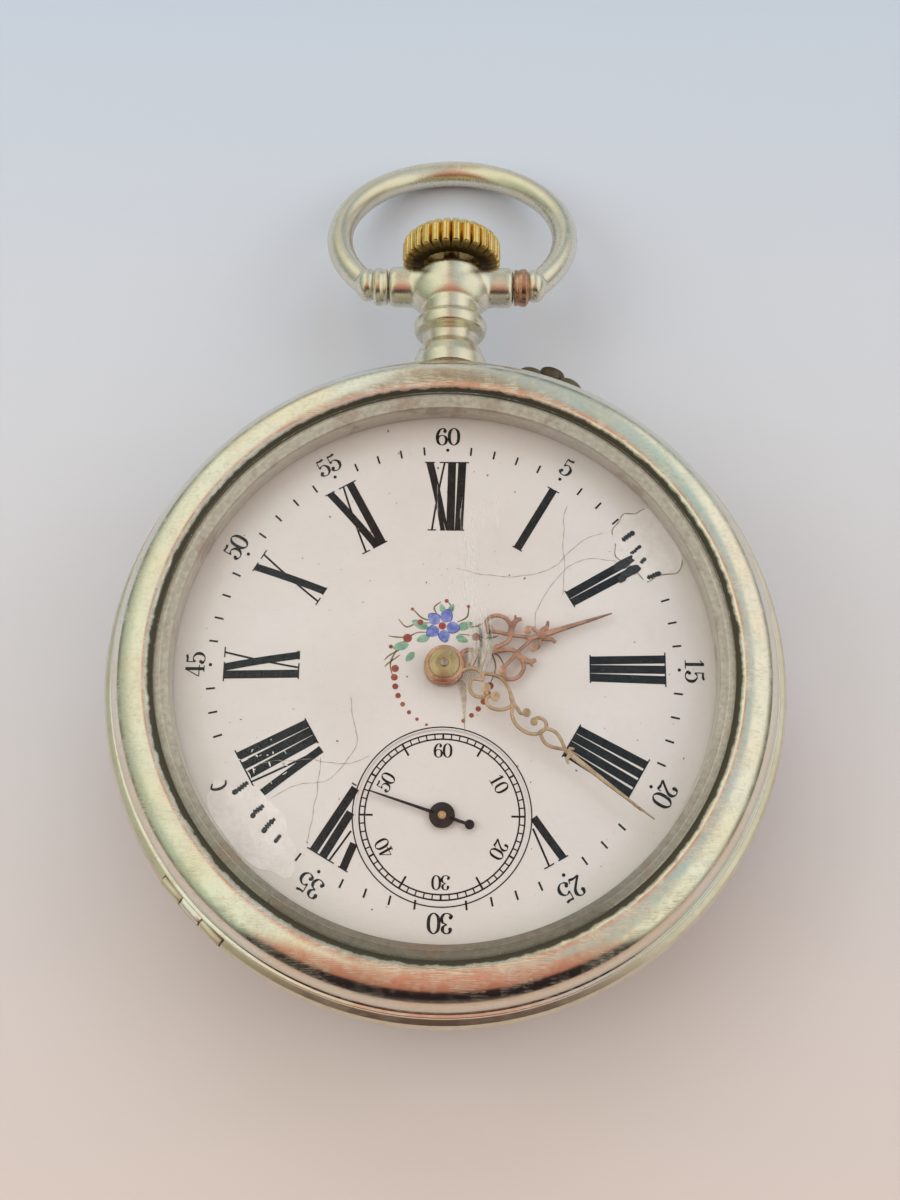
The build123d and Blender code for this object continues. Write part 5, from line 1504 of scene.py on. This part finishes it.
def make_glue(smear, drip, scuff):
    """Old glue strung across the hour hand, a run of it down the dial, and scuffs inside the glass."""
    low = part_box("minute_hand")[0][2] / MM - 0.2
    dice = random.Random(21)
    strands = []
    for k in range(9):
        x = 1.9 + 0.17 * k + dice.uniform(-0.1, 0.1)
        knots = [(x - 0.5 + dice.uniform(-0.2, 0.2), -1.0 + dice.uniform(-0.3, 0.5)), (x, 0.6), (x + 0.1, 2.2),
                 (x - 0.2 + dice.uniform(-0.3, 0.3), 3.9 + dice.uniform(-0.9, 0.9))]
        strands.append(brushed(knots, dice.uniform(0.12, 0.34), low + 0.006 * k, low + 0.02 + 0.006 * k))
    piece("glue_smear", join(*strands), smear, "hour_hand", ())
    knots = [(0.95, -1.0), (1.5, -1.1), (1.62, -2.1), (1.55, -3.6), (1.52, -4.75), (1.42, -3.6), (1.2, -2.2)]
    on_dial("glue_drip", [dab(curve(knots, 5, True), 0.02, 0.05)], drip)
    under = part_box("crystal")[0][2] / MM - 0.03
    lines = []
    for _ in range(26):
        x = dice.gauss(1.6, 0.85)
        start = dice.uniform(2.2, 11.0)
        end = start + dice.uniform(0.8, 4.0)
        lean = dice.uniform(-0.12, 0.12)
        lines.append(brushed([(x, start), (x + lean, (start + end) / 2), (x + dice.uniform(-0.2, 0.2), end)],
                             dice.uniform(0.025, 0.07), under, under + 0.015))
    piece("glass_scuffs", join(*lines), scuff, "bezel", ())


# ---- Movement: the CAD pieces keep their shape and take these finishes ---------------------------
def finish_nodes(material, *names):
    for name in names:
        slots = NODES[name].data.materials
        for index in range(len(slots)):
            slots[index] = material
        if not slots:
            slots.append(material)


def finish_movement():
    finish_nodes(frosted_gilt(), "main_plate", "barrel_bridge", "train_bridge", "pallet_cock", "balance_cock")
    finish_nodes(plain_metal("wheel_brass", (0.84, 0.66, 0.33), (0.66, 0.48, 0.22), 0.16, (1.0, 1.0, 1.0)),
                 "centre_wheel", "third_wheel", "fourth_wheel", "hour_wheel", "minute_wheel", "barrel_cover",
                 "mainspring_barrel", "balance_wheel", "cannon_pinion")
    finish_nodes(plain_metal("polished_steel", (0.62, 0.62, 0.61), (0.48, 0.47, 0.45), 0.14),
                 "crown_wheel", "ratchet_wheel", "click", "click_spring", "setting_lever", "setting_wheel",
                 "clutch_wheel", "winding_pinion", "winding_stem", "escape_wheel", "pallet_fork",
                 "barrel_arbor", "balance_staff", "regulator", "crown_wheel_core", "pin_spring")
    finish_nodes(plain_metal("oxidised_steel", (0.16, 0.14, 0.11), (0.08, 0.06, 0.045), 0.35), "pin_button")
    finish_nodes(plain_metal("blued_steel", (0.05, 0.08, 0.28), (0.1, 0.12, 0.32), 0.16),
                 "hairspring", "bridge_screws", "ratchet_screw", "click_screws", "case_screws", "mainspring")
    finish_nodes(jewel(), "jewels", "pallet_stones", "roller")
    finish_nodes(plain_metal("bare_brass", (0.72, 0.55, 0.28), (0.5, 0.36, 0.18), 0.25),
                 "dial_feet", "balance_screws", "bezel_hinge_pin", "back_hinge_pin", "cuvette_hinge_pin")


# ---- Stage ---------------------------------------------------------------------------------------
# camera place in millimetres and turn in degrees
CAMERA_PLACE = (1.7226, -23.882, 106.556)
CAMERA_TURN = (16.80, 0.579, 0.824)
LENS = 41.11
# name, place and size in metres, watts, colour
SOFTBOXES = (
    ("left_box", (-0.34, 0.02, 0.20), (0.30, 0.36), 0.722, (0.9, 0.936, 1.0)),
    ("right_box", (0.36, 0.06, 0.17), (0.26, 0.34), 0.533, (0.9, 0.931, 1.0)),
    ("back_box", (0.0, 0.42, 0.34), (0.5, 0.24), 0.705, (0.775, 0.875, 1.0)),
    ("front_box", (0.02, -0.40, 0.30), (0.4, 0.16), 0.172, (0.9, 0.8, 0.76)),
)


def make_floor(material):
    mesh = bpy.data.meshes.new("floor")
    size, level = 3.0, -0.00002
    corners = [(x, y, level) for x, y in ((-size, -size), (size, -size), (size, size), (-size, size))]
    mesh.from_pydata(corners, [], [(0, 1, 2, 3)])
    mesh.materials.append(material)
    floor = bpy.data.objects.new("floor", mesh)
    bpy.context.scene.collection.objects.link(floor)


def make_softbox(name, place, size, power, colour):
    """Area light that faces the watch."""
    light = bpy.data.lights.new(name, "AREA")
    light.shape = "RECTANGLE"
    light.size, light.size_y = size
    light.energy = power
    light.color = colour
    lamp = bpy.data.objects.new(name, light)
    lamp.location = place
    lamp.visible_glossy = False
    lamp.rotation_euler = (Vector((0, 0, 0)) - Vector(place)).to_track_quat("-Z", "Y").to_euler()
    bpy.context.scene.collection.objects.link(lamp)


def make_world():
    """The room that the metal mirrors: light to both sides, warm overhead, dark low in front."""
    world = bpy.data.worlds.new("room")
    world.use_nodes = True
    sky = Nodes(world.node_tree)
    place = sky.add("ShaderNodeTexCoord")
    across, along, up = sky.split(place.outputs["Generated"])

    def ramp(source, *stops):
        """Ramp over one part of a direction, from -1 to 1."""
        half = sky.add("ShaderNodeMath", operation="MULTIPLY_ADD")
        half.inputs[1].default_value = 0.5
        half.inputs[2].default_value = 0.5
        sky.link(source, half.inputs[0])
        return sky.ramp(half.outputs[0], *stops)

    depth = ramp(along, (0.0, (0.14, 0.10, 0.09)), (0.03, (0.02, 0.016, 0.018)),
                 (0.165, (0.03, 0.02, 0.024)), (0.205, (0.46, 0.19, 0.13)), (0.4, (0.74, 0.33, 0.23)),
                 (0.69, (0.66, 0.38, 0.27)), (0.75, (0.38, 0.29, 0.20)), (0.86, (0.40, 0.31, 0.23)),
                 (0.94, (0.52, 0.45, 0.37)), (1.0, (0.7, 0.72, 0.72)))
    sides = ramp(across, (0.0, (0.46, 0.50, 0.40)), (0.13, (0.58, 0.63, 0.50)), (0.22, (0.95, 0.97, 0.78)),
                 (0.42, (1.0, 1.0, 0.84)), (0.56, (0.50, 0.61, 0.63)), (0.68, (0.56, 0.65, 0.64)),
                 (0.74, (1.05, 1.02, 0.90)), (0.93, (1.0, 0.97, 0.88)), (1.0, (0.4, 0.4, 0.32)))
    tint = ramp(along, (0.3, (0.95, 1.0, 0.93)), (0.48, (0.98, 1.0, 0.95)), (0.55, (1.0, 1.0, 1.0)))
    height = ramp(up, (0.5, (0.30, 0.29, 0.27)), (0.6, (0.6, 0.6, 0.58)), (0.7, (1.0, 1.0, 1.0)))
    off = sky.math("ABSOLUTE", sky.plus(across, 0.025))
    edge = sky.math("MAXIMUM", sky.times(along, -0.95), 0.1)
    beside = ramp(sky.minus(off, edge), (0.48, 0.0), (0.52, 1.0))
    lit = sky.blend(1.0, sky.blend(1.0, sides, tint, "MULTIPLY"), height, "MULTIPLY")
    background = world.node_tree.nodes["Background"]
    sky.link(sky.blend(beside, depth, lit), background.inputs[0])
    background.inputs[1].default_value = 1.0
    bpy.context.scene.world = world


def make_camera():
    lens = bpy.data.cameras.new("camera")
    lens.lens = LENS
    lens.sensor_width = 36.0
    lens.clip_start = 0.005
    camera = bpy.data.objects.new("camera", lens)
    camera.location = [part * MM for part in CAMERA_PLACE]
    camera.rotation_euler = [radians(turn) for turn in CAMERA_TURN]
    bpy.context.scene.collection.objects.link(camera)
    bpy.context.scene.camera = camera


def make_stage():
    make_floor(floor_paper())
    make_world()
    for row in SOFTBOXES:
        make_softbox(*row)
    bpy.context.scene.view_settings.view_transform = "Standard"
    make_camera()


# ---- The watch -----------------------------------------------------------------------------------
def make_case():
    nickel = case_metal("nickel_silver_worn", (0.78, 0.74, 0.64), (0.52, 0.47, 0.36), 0.28)
    polished = case_metal("nickel_silver_polished", (0.80, 0.77, 0.67), (0.56, 0.51, 0.40), 0.24, 0.6, False)
    copper = hand_metal("worn_copper", (0.62, 0.36, 0.24), (0.42, 0.24, 0.16), 0.25)
    make_case_middle(nickel)
    make_bezel(bezel_metal())
    make_crystal(crystal_glass(), rim_glass())
    make_back_cover(engine_turned())
    make_cuvette(case_metal("dust_cover_metal", (0.84, 0.73, 0.5), (0.6, 0.47, 0.28), 0.14))
    make_pendant(polished)
    make_bow(polished)
    make_bow_collars(polished, copper)
    make_crown(crown_metal())
    make_pin_guard(case_metal("dark_guard", (0.20, 0.17, 0.10), (0.08, 0.065, 0.04), 0.36, 0.7, False))


def make_face():
    make_dial(enamel())
    ink = paint("print_black", (0.004, 0.004, 0.005), (0.014, 0.014, 0.016), 0.6, 3.0, 0.006, 0.12)
    make_print(ink)
    make_subdial_print(ink)
    make_spray(
        paint("petal_blue", (0.10, 0.14, 0.48), (0.32, 0.38, 0.68), 0.4, 1.6),
        paint("outline_blue", (0.035, 0.05, 0.26), (0.1, 0.13, 0.42)),
        paint("heart_red", (0.30, 0.03, 0.025), (0.45, 0.09, 0.06)),
        paint("leaf_green", (0.11, 0.30, 0.20), (0.34, 0.52, 0.40), 0.4, 1.6),
        paint("tendril_olive", (0.14, 0.10, 0.05), (0.30, 0.24, 0.12)),
        paint("berry_red", (0.24, 0.045, 0.03), (0.42, 0.11, 0.07), 0.4, 1.6),
    )
    dirt = paint("crack_dirt", (0.22, 0.17, 0.12), (0.45, 0.38, 0.3), 0.6)
    filler = paint("filler_white", (0.84, 0.795, 0.79), (0.74, 0.69, 0.68), 0.45, 0.9, 0.1)
    make_fillers(filler, dirt)
    dice = random.Random(11)
    make_touch_up(paint("touch_up_ink", (0.008, 0.008, 0.012), (0.03, 0.03, 0.035), 0.4), dice)
    make_flecks(filler, dice)
    make_cracks(dirt)
    make_specks(paint("speck_brown", (0.12, 0.08, 0.05), (0.3, 0.22, 0.15), 0.6))


def make_hands():
    hub = hand_metal("hub_copper", (0.70, 0.42, 0.30), (0.42, 0.24, 0.16), 0.28, 0.9)
    make_hour_hand(hand_metal("hour_hand_rose", (0.66, 0.40, 0.30), (0.36, 0.20, 0.14), 0.3, 0.75), hub)
    gilt = hand_metal("minute_hand_gilt", (0.74, 0.57, 0.38), (0.44, 0.31, 0.19), 0.3, 0.75)
    make_minute_hand(gilt, hub, hand_metal("hub_brass", (0.60, 0.50, 0.30), (0.42, 0.33, 0.18), 0.3, 0.85),
                     plain_metal("hub_pin", (0.5, 0.49, 0.47), (0.36, 0.34, 0.3), 0.2))
    make_seconds_hand(plain_metal("seconds_black", (0.03, 0.03, 0.035), (0.06, 0.055, 0.05), 0.3), gilt)
    make_glue(film("glue_haze", (0.80, 0.74, 0.66), 0.55, (3.0, 0.6, 1.0)),
              film("glue_olive", (0.50, 0.43, 0.28), 0.9, (1.0, 0.6, 1.0)),
              film("glass_scuff", (0.8, 0.79, 0.76), 0.5, (2.0, 0.7, 1.0)))


make_case()
make_face()
make_hands()
finish_movement()
make_stage()
